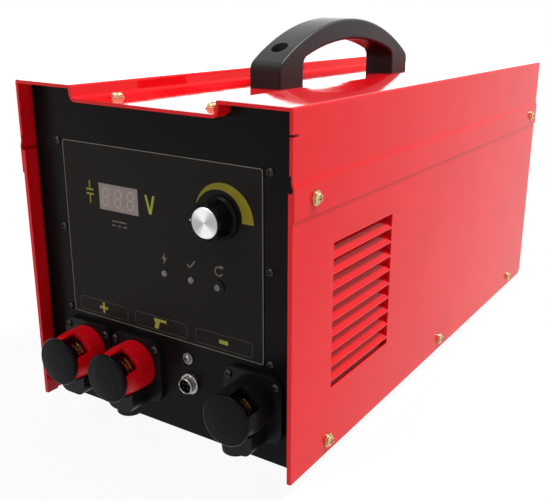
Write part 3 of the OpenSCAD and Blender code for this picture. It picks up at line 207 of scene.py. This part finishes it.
# Materials by the record's slots: grain and patch are noise scales per metre, relief and edge are lengths
LOOKS = {
    "red_paint": dict(
        colour=(0.82, 0.007, 0.013), shade=(0.76, 0.005, 0.010), rough=(0.30, 0.36),
        grain=900.0, relief=0.004 * MM, specular=0.0, coat=1.0, coat_rough=0.05, coat_ior=1.27,
        edge=0.7 * MM, edge_colour=(0.85, 0.06, 0.05)),
    "black_paint": dict(
        colour=(0.0050, 0.0036, 0.0040), shade=(0.0066, 0.0050, 0.0054), rough=(0.26, 0.36),
        grain=1400.0, relief=0.01 * MM, specular=0.06, edge=0.6 * MM, edge_colour=(0.014, 0.013, 0.013)),
    "grey_zinc": dict(
        colour=(0.46, 0.47, 0.48), shade=(0.36, 0.37, 0.38), rough=(0.3, 0.5),
        grain=260.0, relief=0.02 * MM, metallic=1.0, patch=60.0),
    "rubber": dict(
        colour=(0.014, 0.014, 0.014), shade=(0.022, 0.021, 0.02), rough=(0.7, 0.9),
        grain=1800.0, relief=0.06 * MM, specular=0.3),
    "zinc_steel": dict(
        colour=(0.24, 0.24, 0.25), shade=(0.18, 0.18, 0.19), rough=(0.2, 0.34),
        grain=700.0, relief=0.01 * MM, metallic=1.0, patch=200.0, edge=0.2 * MM),
    "yellow_zinc": dict(
        colour=(0.74, 0.54, 0.28), shade=(0.54, 0.40, 0.24), rough=(0.14, 0.28),
        grain=900.0, relief=0.01 * MM, metallic=1.0, patch=260.0, edge=0.2 * MM),
    "handle_plastic": dict(
        colour=(0.013, 0.0125, 0.013), shade=(0.018, 0.0175, 0.018), rough=(0.36, 0.5),
        grain=2200.0, relief=0.05 * MM, specular=0.1, coat=1.0, coat_rough=0.4, coat_ior=1.2,
        edge_colour=(0.05, 0.05, 0.05)),
    "overlay_film": dict(
        colour=(0.0088, 0.0072, 0.0062), shade=(0.0112, 0.0092, 0.0080), rough=(0.4, 0.5),
        grain=2600.0, relief=0.015 * MM, specular=0.08, edge=0.2 * MM),
    "display_plastic": dict(
        colour=(0.25, 0.195, 0.17), shade=(0.22, 0.17, 0.15), rough=(0.25, 0.35),
        grain=1500.0, relief=0.01 * MM, edge=0.4 * MM, edge_colour=(0.4, 0.36, 0.33)),
    "circuit_board": dict(
        colour=(0.01, 0.10, 0.035), shade=(0.015, 0.14, 0.05), rough=(0.3, 0.45),
        grain=800.0, relief=0.02 * MM),
    "knob_plastic": dict(
        colour=(0.0050, 0.0050, 0.0057), shade=(0.0066, 0.0066, 0.0074), rough=(0.26, 0.36),
        grain=1600.0, relief=0.02 * MM, specular=0.06, edge_colour=(0.014, 0.014, 0.015)),
    "lamp_plastic": dict(
        colour=(0.10, 0.085, 0.075), shade=(0.13, 0.11, 0.10), rough=(0.1, 0.2),
        grain=700.0, relief=0.01 * MM, coat=0.6),
    "grey_plastic": dict(
        colour=(0.10, 0.095, 0.09), shade=(0.13, 0.125, 0.12), rough=(0.35, 0.5),
        grain=1500.0, relief=0.02 * MM),
    "black_plastic": dict(
        colour=(0.0060, 0.0060, 0.0066), shade=(0.0080, 0.0080, 0.0088), rough=(0.3, 0.42),
        grain=1700.0, relief=0.02 * MM, specular=0.12, edge_colour=(0.014, 0.014, 0.015)),
    "black_steel": dict(
        colour=(0.02, 0.02, 0.021), shade=(0.035, 0.033, 0.032), rough=(0.28, 0.42),
        grain=900.0, relief=0.01 * MM, metallic=0.6, edge=0.2 * MM),
    "red_plastic": dict(
        colour=(0.86, 0.004, 0.012), shade=(0.80, 0.003, 0.010), rough=(0.24, 0.34),
        grain=1100.0, relief=0.01 * MM, specular=0.15, edge=0.9 * MM),
    "brass": dict(
        colour=(0.80, 0.57, 0.24), shade=(0.68, 0.46, 0.18), rough=(0.18, 0.32),
        grain=900.0, relief=0.01 * MM, metallic=1.0, patch=120.0, edge=0.3 * MM),
    "can_sleeve": dict(
        colour=(0.012, 0.03, 0.09), shade=(0.016, 0.036, 0.11), rough=(0.2, 0.32),
        grain=500.0, relief=0.02 * MM, coat=0.3),
    "phenolic": dict(
        colour=(0.16, 0.06, 0.02), shade=(0.12, 0.045, 0.015), rough=(0.4, 0.55),
        grain=500.0, relief=0.03 * MM, stretch=(1, 8, 8)),
    "copper": dict(
        colour=(0.75, 0.36, 0.2), shade=(0.6, 0.26, 0.13), rough=(0.22, 0.4),
        grain=500.0, relief=0.01 * MM, metallic=1.0, patch=50.0),
    "core_steel": dict(
        colour=(0.06, 0.06, 0.063), shade=(0.1, 0.085, 0.07), rough=(0.35, 0.55),
        grain=400.0, relief=0.1 * MM, metallic=0.7, stretch=(0.1, 6, 0.1)),
    "winding": dict(
        colour=(0.42, 0.30, 0.10), shade=(0.34, 0.22, 0.07), rough=(0.25, 0.4),
        grain=300.0, relief=0.1 * MM, stretch=(0.2, 0.2, 5)),
    "aluminium": dict(
        colour=(0.72, 0.72, 0.74), shade=(0.62, 0.62, 0.64), rough=(0.25, 0.42),
        grain=400.0, relief=0.02 * MM, metallic=1.0, stretch=(1, 0.05, 1)),
    "ceramic": dict(
        colour=(0.10, 0.14, 0.10), shade=(0.13, 0.18, 0.13), rough=(0.3, 0.5),
        grain=600.0, relief=0.05 * MM),
    "chrome": dict(
        colour=(0.40, 0.385, 0.37), shade=(0.32, 0.305, 0.29), rough=(0.07, 0.16),
        grain=900.0, relief=0.005 * MM, metallic=1.0, patch=200.0, edge=0.2 * MM),
}
materials = {name: make_material(name, **look) for name, look in LOOKS.items()}


# Clear coat of the red paint
WAVE_SCALE = 55.0
WAVE_DETAIL = 1.0
WAVE_RELIEF = 0.06 * MM
RIDGE_FROM = 62.0 * MM
RIDGE_FALL = math.tan(math.radians(2.4))


def add_coat_normal(material):
    """Long, shallow waves as on sprayed sheet, and a slight outward fall of the right ridge."""
    tree = material.node_tree
    bsdf = tree.nodes["Principled BSDF"]
    vector = object_coords(tree)
    waves = bump(tree, noise(tree, vector, WAVE_SCALE, WAVE_DETAIL), WAVE_RELIEF)
    parts = tree.nodes.new("ShaderNodeSeparateXYZ")
    tree.links.new(vector, parts.inputs["Vector"])
    past_ridge = math_node(tree, "SUBTRACT", RIDGE_FROM, parts.outputs["X"])
    fall = math_node(tree, "MINIMUM", past_ridge, 0.0)
    tree.links.new(bump(tree, fall, RIDGE_FALL, waves), bsdf.inputs["Coat Normal"])


# Fine rings of the thread on the chrome shell
THREAD_SCALE = 320.0
THREAD_RELIEF = 0.1 * MM


def add_thread(material):
    tree = material.node_tree
    bsdf = tree.nodes["Principled BSDF"]
    wave = tree.nodes.new("ShaderNodeTexWave")
    wave.bands_direction = "Y"
    wave.inputs["Scale"].default_value = THREAD_SCALE
    tree.links.new(object_coords(tree), wave.inputs["Vector"])
    tree.links.new(bump(tree, wave.outputs["Fac"], THREAD_RELIEF), bsdf.inputs["Normal"])


# Spun face of the knob's cap: grooves about its axis, and a painted reflection: two darker fans painted
# into its colour in place of the sheen such a face shows
PAINTED_FAN_ACROSS = (0.97, 0, 0.24)
PAINTED_FAN_RANGE = (0.45, 0.95)
RING_GRAIN = 9000.0
RING_DETAIL = 2.0
RING_RELIEF = 0.01 * MM
SPUN_BRIGHT = (0.96, 0.96, 0.97)
SPUN_GROOVE = (0.86, 0.86, 0.87)
SPUN_PAINTED_SHADE = (0.42, 0.42, 0.43)
SPUN_ROUGH = (0.22, 0.34)
SPUN_BRUSHED = 0.85


def spun_aluminium():
    material, tree, bsdf = new_shader("spun_aluminium")
    coords = tree.nodes.new("ShaderNodeTexCoord")
    arm = vector_node(tree, "SUBTRACT", coords.outputs["Object"], knob_axis)
    flat = vector_node(tree, "MULTIPLY", arm, (1, 0, 1))
    around = vector_node(tree, "CROSS_PRODUCT", flat, (0, 1, 0))
    radius = tree.nodes.new("ShaderNodeCombineXYZ")
    tree.links.new(vector_node(tree, "LENGTH", flat), radius.inputs["X"])
    rings = noise(tree, radius.outputs["Vector"], RING_GRAIN, RING_DETAIL)
    # Painted reflection: the colour is darkened in two opposite fans about the axis, at fixed angles
    heading = vector_node(tree, "NORMALIZE", flat)
    across = vector_node(tree, "DOT_PRODUCT", heading, PAINTED_FAN_ACROSS)
    painted_fan = remap(tree, math_node(tree, "ABSOLUTE", across, 0.0), 0.0, 1.0, *PAINTED_FAN_RANGE)
    grooved = blend_colours(tree, rings, SPUN_BRIGHT, SPUN_GROOVE)
    tree.links.new(blend_colours(tree, painted_fan, grooved, SPUN_PAINTED_SHADE), bsdf.inputs["Base Color"])
    tree.links.new(remap(tree, rings, *SPUN_ROUGH), bsdf.inputs["Roughness"])
    tree.links.new(bump(tree, rings, RING_RELIEF), bsdf.inputs["Normal"])
    tree.links.new(around, bsdf.inputs["Tangent"])
    bsdf.inputs["Metallic"].default_value = 1.0
    bsdf.inputs["Anisotropic"].default_value = SPUN_BRUSHED
    return material


add_coat_normal(materials["red_paint"])
add_thread(materials["chrome"])
materials["spun_aluminium"] = spun_aluminium()

# Printing inks
INK_SPREAD = 0.06
INK_GRAIN = 2400.0
INK_RELIEF = 0.01 * MM
INK_SPECULAR = 0.2
INK_PATCH = 150.0
INK_EDGE = 0.05 * MM


def ink(name, colour, shade, rough=0.5):
    spread = (rough - INK_SPREAD, rough + INK_SPREAD)
    return make_material(name, colour, shade, spread, INK_GRAIN, INK_RELIEF, specular=INK_SPECULAR,
                         patch=INK_PATCH, edge=INK_EDGE)


yellow_ink = ink("yellow_ink", (0.27, 0.23, 0.013), (0.23, 0.195, 0.011))
sign_ink = ink("sign_ink", (0.38, 0.36, 0.055), (0.33, 0.31, 0.047))
line_ink = ink("line_ink", (0.17, 0.16, 0.125), (0.14, 0.13, 0.10))
faint_ink = ink("faint_ink", (0.075, 0.066, 0.048), (0.06, 0.053, 0.038))
pale_ink = ink("pale_ink", (0.16, 0.145, 0.115), (0.13, 0.118, 0.094))
white_paint = ink("white_paint", (0.8, 0.79, 0.77), (0.72, 0.71, 0.69), 0.4)
segment_plastic = ink("segment_plastic", (0.38, 0.315, 0.285), (0.35, 0.29, 0.26), 0.35)

# Each solid gets the material of its slot
for part in frame["record"]["subparts"]:
    solid = frame["nodes"][part["node"]]
    for material_slot in solid.material_slots:
        material_slot.material = materials[part["material_slot"]]

# Handle with rounded rims, made from its solid and shown in its place
RIM_R = 2.6 * MM
RIM_STEPS = 4
ROUND_PROFILE = 0.5
WELD = 0.001 * MM
FLAT_ANGLE = math.radians(0.4)
SHARP_ANGLE = math.radians(35)
LARGEST_FACE_WINS = 100


def on_rim(edge, lo, hi):
    """Whether an edge bounds one of the handle's two sides, other than at the foot."""
    start, end = (vert.co for vert in edge.verts)
    on_side = any(abs(start.x - x) < WELD and abs(end.x - x) < WELD for x in (lo.x, hi.x))
    on_foot = abs(start.z - lo.z) < WELD and abs(end.z - lo.z) < WELD
    return on_side and not on_foot


def moulded_handle():
    solid = frame["nodes"]["handle"]
    lo, hi = corners("handle")
    form = bmesh.new()
    form.from_mesh(solid.data)
    form.transform(solid.matrix_world)
    bmesh.ops.remove_doubles(form, verts=form.verts, dist=WELD)
    bmesh.ops.dissolve_limit(form, angle_limit=FLAT_ANGLE, verts=form.verts, edges=form.edges)
    rim = [edge for edge in form.edges if on_rim(edge, lo, hi)]
    bmesh.ops.bevel(form, geom=rim, offset=RIM_R, segments=RIM_STEPS, profile=ROUND_PROFILE, affect="EDGES")
    form.normal_update()
    for face in form.faces:
        face.smooth = True
    for edge in form.edges:
        edge.smooth = edge.calc_face_angle() < SHARP_ANGLE
    mesh = bpy.data.meshes.new("handle_moulded")
    form.to_mesh(mesh)
    form.free()
    mesh.materials.append(materials["handle_plastic"])
    piece = bpy.data.objects.new("handle_moulded", mesh)
    bpy.context.scene.collection.objects.link(piece)
    weighted = piece.modifiers.new("weighted_normals", "WEIGHTED_NORMAL")
    weighted.mode = "FACE_AREA"
    weighted.weight = LARGEST_FACE_WINS
    weighted.keep_sharp = True
    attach(piece, "case")
    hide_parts("handle")


moulded_handle()


# Flat marks that face the front: each outline is a list of x, z points in metres
def prism(name, outlines, y_face, thickness, material, body="case"):
    mesh = bpy.data.meshes.new(name)
    form = bmesh.new()
    for outline in outlines:
        front = [form.verts.new((x, y_face - thickness, z)) for x, z in outline]
        back = [form.verts.new((x, y_face, z)) for x, z in outline]
        form.faces.new(front)
        form.faces.new(list(reversed(back)))
        for i in range(len(front)):
            j = (i + 1) % len(front)
            form.faces.new((front[i], back[i], back[j], front[j]))
    bmesh.ops.recalc_face_normals(form, faces=form.faces)
    form.to_mesh(mesh)
    form.free()
    piece = bpy.data.objects.new(name, mesh)
    bpy.context.scene.collection.objects.link(piece)
    mesh.materials.append(material)
    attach(piece, body)


# Outlines, in any unit
def arc(cx, cz, radius, start, end, count):
    angles = [math.radians(start + (end - start) * i / count) for i in range(count + 1)]
    return [(cx + radius * math.cos(a), cz + radius * math.sin(a)) for a in angles]


def rounded_box(x0, z0, x1, z1, r, count=5):
    turns = ((x1 - r, z1 - r, 0), (x0 + r, z1 - r, 90), (x0 + r, z0 + r, 180), (x1 - r, z0 + r, 270))
    return [point for cx, cz, a in turns for point in arc(cx, cz, r, a, a + 90, count)]


def ring(outer, inner):
    """Quads between two closed outlines with equal counts."""
    n = len(outer)
    return [[outer[i], outer[(i + 1) % n], inner[(i + 1) % n], inner[i]] for i in range(n)]


def line_box(half_w, half_h, line, outer_r, inner_r):
    """Rounded box about the middle, drawn as a line."""
    in_w = half_w - line
    in_h = half_h - line
    outer = rounded_box(-half_w, -half_h, half_w, half_h, outer_r)
    return ring(outer, rounded_box(-in_w, -in_h, in_w, in_h, inner_r))


def bar(x0, z0, x1, z1, width):
    """A straight stroke."""
    along = Vector((x1 - x0, z1 - z0)).normalized() * (width / 2)
    side = Vector((-along.y, along.x))
    return [(x0 + side.x, z0 + side.y), (x0 - side.x, z0 - side.y),
            (x1 - side.x, z1 - side.y), (x1 + side.x, z1 + side.y)]


# Print on the panel, in millimetres: across from its middle and up from the foot of the sides
PRINT_THICK = 0.06 * MM


def panel_place(point, right=0.0, up=0.0):
    return point.x / MM + right, (point.z - SIDE_FLOOR) / MM + up


def in_metres(outlines, place):
    """Outlines drawn in millimetres about a place on the panel, moved there in metres."""
    x, z = place
    return [[((x + px) * MM, SIDE_FLOOR + (z + pz) * MM) for px, pz in outline] for outline in outlines]


def printed(name, outlines, place, material):
    prism(name, in_metres(outlines, place), PRINT_Y, PRINT_THICK, material)


# Line round the overlay
BORDER_IN = 0.3
BORDER_LINE = 0.65
BORDER_OUTER_R = 1.9
BORDER_INNER_R = 1.3
border_w = (overlay_hi.x - overlay_lo.x) / 2 / MM - BORDER_IN
border_h = (overlay_hi.z - overlay_lo.z) / 2 / MM - BORDER_IN
printed("overlay_border", line_box(border_w, border_h, BORDER_LINE, BORDER_OUTER_R, BORDER_INNER_R),
        panel_place(middle("control_overlay")), line_ink)

# Tapered scale round the voltage knob
SCALE_STEPS = 40
SCALE_SWEEP = math.radians(158)
SCALE_START_R = 26.4
SCALE_CLOSES_IN = 4.6
SCALE_CLOSING = 1.6
SCALE_WIDEST = 9.3
SCALE_THINNING = 0.8
SCALE_THINNEST = 0.25
SCALE_RIGHT = 0.3
SCALE_UP = -1.2


def scale_point(step, outer):
    t = step / SCALE_STEPS
    radius = SCALE_START_R - SCALE_CLOSES_IN * t ** SCALE_CLOSING
    if not outer:
        radius -= max(SCALE_WIDEST * (1 - t) ** SCALE_THINNING, SCALE_THINNEST)
    return radius * math.cos(SCALE_SWEEP * t), radius * math.sin(SCALE_SWEEP * t)


def scale_outlines():
    quad = ((0, True), (1, True), (1, False), (0, False))
    return [[scale_point(i + ahead, outer) for ahead, outer in quad] for i in range(SCALE_STEPS)]


printed("knob_scale", scale_outlines(), panel_place(knob_axis, SCALE_RIGHT, SCALE_UP), yellow_ink)

# Unit sign, capacitor sign and direct-current sign about the display
VOLT_RIGHT = 30.2
VOLT_UP = 0.4
CAPACITOR_RIGHT = -27.6
CAPACITOR_UP = 2.0
CURRENT_UP = -18.5
CURRENT_DASH = 3.2
display_mid = (display_lo + display_hi) / 2
volt_arms = [[(side * 4.6, 6.7), (side * 2.6, 6.7), (0, -3.2), (0, -6.7), (side * 1.1, -6.7)]
             for side in (-1, 1)]
capacitor_plates = [bar(-3.6, side * 1.7, 3.6, side * 1.7, 1.5) for side in (1, -1)]
capacitor_leads = [bar(0, side * 2.4, 0, side * 8.4, 1.2) for side in (1, -1)]
current_line = bar(-7, 1.6, 7, 1.6, 1.0)
current_dashes = [bar(x, -1.6, x + CURRENT_DASH, -1.6, 1.0) for x in (-7, -1.6, 3.8)]
printed("volt_sign", volt_arms, panel_place(display_mid, VOLT_RIGHT, VOLT_UP), sign_ink)
printed("capacitor_sign", capacitor_plates + capacitor_leads,
        panel_place(display_mid, CAPACITOR_RIGHT, CAPACITOR_UP), yellow_ink)
printed("direct_current_sign", [current_line] + current_dashes,
        panel_place(display_mid, up=CURRENT_UP), pale_ink)

# Boxes with the sign of each output
BOX_HALF_W = 24.7
BOX_HALF_H = 5.5
BOX_LINE = 0.35
BOX_OUTER_R = 2.6
BOX_INNER_R = 2.25
BOX_UP = 83.4
BOX_PLACES = {"plus": (-57.9, BOX_UP), "gun": (-1.2, BOX_UP), "minus": (55.7, BOX_UP)}
output_box = line_box(BOX_HALF_W, BOX_HALF_H, BOX_LINE, BOX_OUTER_R, BOX_INNER_R)
plus_strokes = [bar(-4.2, 0, 4.2, 0, 2.0), bar(0, 1.0, 0, 4.2, 2.0), bar(0, -1.0, 0, -4.2, 2.0)]
gun_outline = [(-6.2, 4.0), (-6.2, 1.6), (-5.0, 0.6), (-6.2, -4.2), (-2.4, -4.2), (-1.2, 0.8), (-0.2, 1.6),
               (4.4, 1.6), (5.4, 1.0), (5.4, 4.0), (4.4, 3.6), (-5.0, 3.6)]
minus_stroke = bar(-3.8, 0, 3.8, 0, 2.9)
for name, place in BOX_PLACES.items():
    printed(name + "_box", output_box, place, faint_ink)
printed("plus_sign", plus_strokes, BOX_PLACES["plus"], sign_ink)
printed("minus_sign", [minus_stroke], BOX_PLACES["minus"], sign_ink)
printed("gun_sign", [gun_outline], BOX_PLACES["gun"], sign_ink)

# Small signs over the lamps and the reset button
SIGN_UP = 11.0
TURN_OUTER_R = 3.6
TURN_INNER_R = 2.6
TURN_FROM = 60
TURN_TO = 345
TURN_STEPS = 24
lamp_r = (lamps_hi.z - lamps_lo.z) / 2
sign_z = panel_place(middle("indicator_lamps"), up=SIGN_UP)[1]
bolt_outline = [(0.6, 4.4), (-2.4, -0.6), (-0.4, -0.6), (-0.8, -4.4), (2.4, 0.9), (0.4, 0.9)]
tick_strokes = [bar(-3.2, 0.2, -1.0, -2.6, 1.1), bar(-1.3, -2.4, 3.4, 3.2, 1.1)]
turn_outer = arc(0, 0, TURN_OUTER_R, TURN_FROM, TURN_TO, TURN_STEPS)
turn_inner = arc(0, 0, TURN_INNER_R, TURN_FROM, TURN_TO, TURN_STEPS)
closed_turn = ring(turn_outer, turn_inner)
open_turn = closed_turn[:-1]
arrow_head = [(1.2, 4.9), (4.4, 3.4), (1.6, 1.4)]
printed("charging_sign", [bolt_outline], ((lamps_lo.x + lamp_r) / MM, sign_z), pale_ink)
printed("ready_sign", tick_strokes, ((lamps_hi.x - lamp_r) / MM, sign_z), pale_ink)
printed("reset_sign", open_turn + [arrow_head], (middle("reset_button").x / MM, sign_z), pale_ink)

# Three digits of seven segments on the display's face, in millimetres
DIGIT_XS = (-12.4, -0.3, 11.8)
DIGIT_HALF_W = 2.9
DIGIT_HALF_H = 6.2
DIGIT_LEAN = 0.12
SEGMENT_THICK = 1.7
SEGMENT_GAP = 0.25
DOT_RIGHT = 4.6
DOT_UP = -6.4
DOT_R = 0.9
DOT_POINTS = 24


def segment_ends():
    """Start and end of the seven strokes: round the digit from its top left, then the middle."""
    w, h = DIGIT_HALF_W, DIGIT_HALF_H
    top_left, top_right = Vector((-w, h)), Vector((w, h))
    left, right = Vector((-w, 0)), Vector((w, 0))
    low_left, low_right = Vector((-w, -h)), Vector((w, -h))
    return ((top_left, top_right), (top_right, right), (right, low_right), (low_left, low_right),
            (low_left, left), (left, top_left), (left, right))


def digit_outlines(x):
    """Seven pointed strokes that lean to the right, and the dot after them."""
    outlines = []
    for start, end in segment_ends():
        along = (end - start).normalized()
        side = Vector((-along.y, along.x)) * SEGMENT_THICK / 2
        point = along * SEGMENT_THICK / 2
        a = start + along * SEGMENT_GAP
        b = end - along * SEGMENT_GAP
        stroke = [a, a + point + side, b - point + side, b, b - point - side, a + point - side]
        outlines.append([(x + p.x + DIGIT_LEAN * p.y, p.y) for p in stroke])
    last_angle = 360 - 360 / DOT_POINTS
    outlines.append(arc(x + DOT_RIGHT, DOT_UP, DOT_R, 0, last_angle, DOT_POINTS - 1))
    return outlines


digits = [outline for x in DIGIT_XS for outline in digit_outlines(x)]
prism("display_segments", in_metres(digits, panel_place(display_mid)), display_lo.y, PRINT_THICK,
      segment_plastic)

# White pointer along the left-hand ridge of the knob's grip
GRIP_R = 13.0 * MM
POINTER_DEEP = 1.2 * MM
POINTER_HALF = 0.7 * MM
POINTER_CORNER = 0.3 * MM
POINTER_CORNER_STEPS = 2
POINTER_BACK = 9.0 * MM
POINTER_LONG = 8.6 * MM
pointer_x = knob_axis.x - GRIP_R
pointer = rounded_box(pointer_x, knob_axis.z - POINTER_HALF, pointer_x + POINTER_DEEP,
                      knob_axis.z + POINTER_HALF, POINTER_CORNER, POINTER_CORNER_STEPS)
prism("knob_pointer", [pointer], knob_front + POINTER_BACK, POINTER_LONG, white_paint,
      "voltage_knob")

# Floor and background
FLOOR_SIZE = 12.0
FLOOR_COLOUR = (0.9, 0.9, 0.9, 1)
FLOOR_GLOW = 0.93
FLOOR_FADE = (0.3, 1.1)
AMBIENT = 0.22
WHITE = (1, 1, 1, 1)


def seen_directly(tree):
    """1 for what the camera, a mirror or clear glass sees, 0 for light that falls on the object."""
    path = tree.nodes.new("ShaderNodeLightPath")
    seen = math_node(tree, "MAXIMUM", path.outputs["Is Camera Ray"], path.outputs["Is Glossy Ray"])
    return math_node(tree, "MAXIMUM", seen, path.outputs["Is Transmission Ray"])


def mix_shaders(tree, share, first, second, out):
    mix = tree.nodes.new("ShaderNodeMixShader")
    tree.links.new(share, mix.inputs["Fac"])
    tree.links.new(first, mix.inputs[1])
    tree.links.new(second, mix.inputs[2])
    tree.links.new(mix.outputs["Shader"], out.inputs["Surface"])


def add_floor():
    bpy.ops.mesh.primitive_plane_add(size=FLOOR_SIZE, location=(0, 0, 0))
    floor = bpy.context.object
    floor.name = "floor"
    material = bpy.data.materials.new("floor")
    material.use_nodes = True
    tree = material.node_tree
    tree.nodes.clear()
    out = tree.nodes.new("ShaderNodeOutputMaterial")
    diffuse = tree.nodes.new("ShaderNodeBsdfDiffuse")
    diffuse.inputs["Color"].default_value = FLOOR_COLOUR
    glow = tree.nodes.new("ShaderNodeEmission")
    reach = vector_node(tree, "LENGTH", object_coords(tree))
    glow_share = remap(tree, reach, FLOOR_GLOW, 1.0, *FLOOR_FADE)
    share = math_node(tree, "MULTIPLY", seen_directly(tree), glow_share)
    mix_shaders(tree, share, diffuse.outputs["BSDF"], glow.outputs["Emission"], out)
    floor.data.materials.append(material)


def set_background():
    world = bpy.data.worlds.new("studio")
    bpy.context.scene.world = world
    world.use_nodes = True
    tree = world.node_tree
    tree.nodes.clear()
    out = tree.nodes.new("ShaderNodeOutputWorld")
    ambient = tree.nodes.new("ShaderNodeBackground")
    ambient.inputs["Color"].default_value = WHITE
    ambient.inputs["Strength"].default_value = AMBIENT
    white = tree.nodes.new("ShaderNodeBackground")
    white.inputs["Color"].default_value = WHITE
    mix_shaders(tree, seen_directly(tree), ambient.outputs["Background"], white.outputs["Background"], out)


# Lamps: places in metres, power in watts
LAMPS = {
    "key": dict(place=(0.95, 0.8, 2.3), target=(0.1, 0.05, 0.15), width=0.5, height=0.5, power=64.0),
    "fill": dict(place=(-0.5, -1.15, 2.2), target=(0, -0.2, 0.1), width=1.0, height=1.0, power=18.0),
    "horizon": dict(place=(-1.4, 2.6, 0.55), target=(0, 0, 0.25), width=3.4, height=1.1, power=19.0),
}


def add_lamp(name, place, target, width, height, power):
    data = bpy.data.lights.new(name, "AREA")
    data.shape = "RECTANGLE"
    data.size = width
    data.size_y = height
    data.energy = power
    lamp = bpy.data.objects.new(name, data)
    lamp.visible_camera = False
    bpy.context.scene.collection.objects.link(lamp)
    aim = (Vector(target) - Vector(place)).to_track_quat("-Z", "Y")
    lamp.matrix_world = Matrix.Translation(place) @ aim.to_matrix().to_4x4()


# Camera of the photograph, fitted to the case's corners
CAMERA_AZIMUTH = math.radians(29.740)
CAMERA_ELEVATION = math.radians(17.016)
CAMERA_ROLL = math.radians(1.389)
CAMERA_RIGHT = 355.84 * MM
CAMERA_BEFORE_CASE = 364.31 * MM
CAMERA_OVER_FOOT = 307.13 * MM
SENSOR_WIDTH = 36.0
LENS = 49.674
LENS_SHIFT = (-0.1074, -0.0251)
CLIP_START = 0.05


def set_camera():
    level_reach = math.cos(CAMERA_ELEVATION)
    back = Vector((math.sin(CAMERA_AZIMUTH) * level_reach, -math.cos(CAMERA_AZIMUTH) * level_reach,
                   math.sin(CAMERA_ELEVATION)))
    level = (-back).cross(Vector((0, 0, 1))).normalized()
    upright = level.cross(-back)
    right = math.cos(CAMERA_ROLL) * level + math.sin(CAMERA_ROLL) * upright
    up = -math.sin(CAMERA_ROLL) * level + math.cos(CAMERA_ROLL) * upright
    data = bpy.data.cameras.new("camera")
    data.sensor_fit = "HORIZONTAL"
    data.sensor_width = SENSOR_WIDTH
    data.lens = LENS
    data.shift_x, data.shift_y = LENS_SHIFT
    data.clip_start = CLIP_START
    camera = bpy.data.objects.new("camera", data)
    bpy.context.scene.collection.objects.link(camera)
    place = Vector((CAMERA_RIGHT, FRONT_EDGE - CAMERA_BEFORE_CASE, SIDE_FLOOR + CAMERA_OVER_FOOT))
    turn = Matrix((right, up, back)).transposed().to_4x4()
    camera.matrix_world = Matrix.Translation(place) @ turn
    bpy.context.scene.camera = camera


add_floor()
set_background()
for name, lamp in LAMPS.items():
    add_lamp(name, **lamp)
set_camera()
bpy.context.scene.view_settings.view_transform = "Standard"
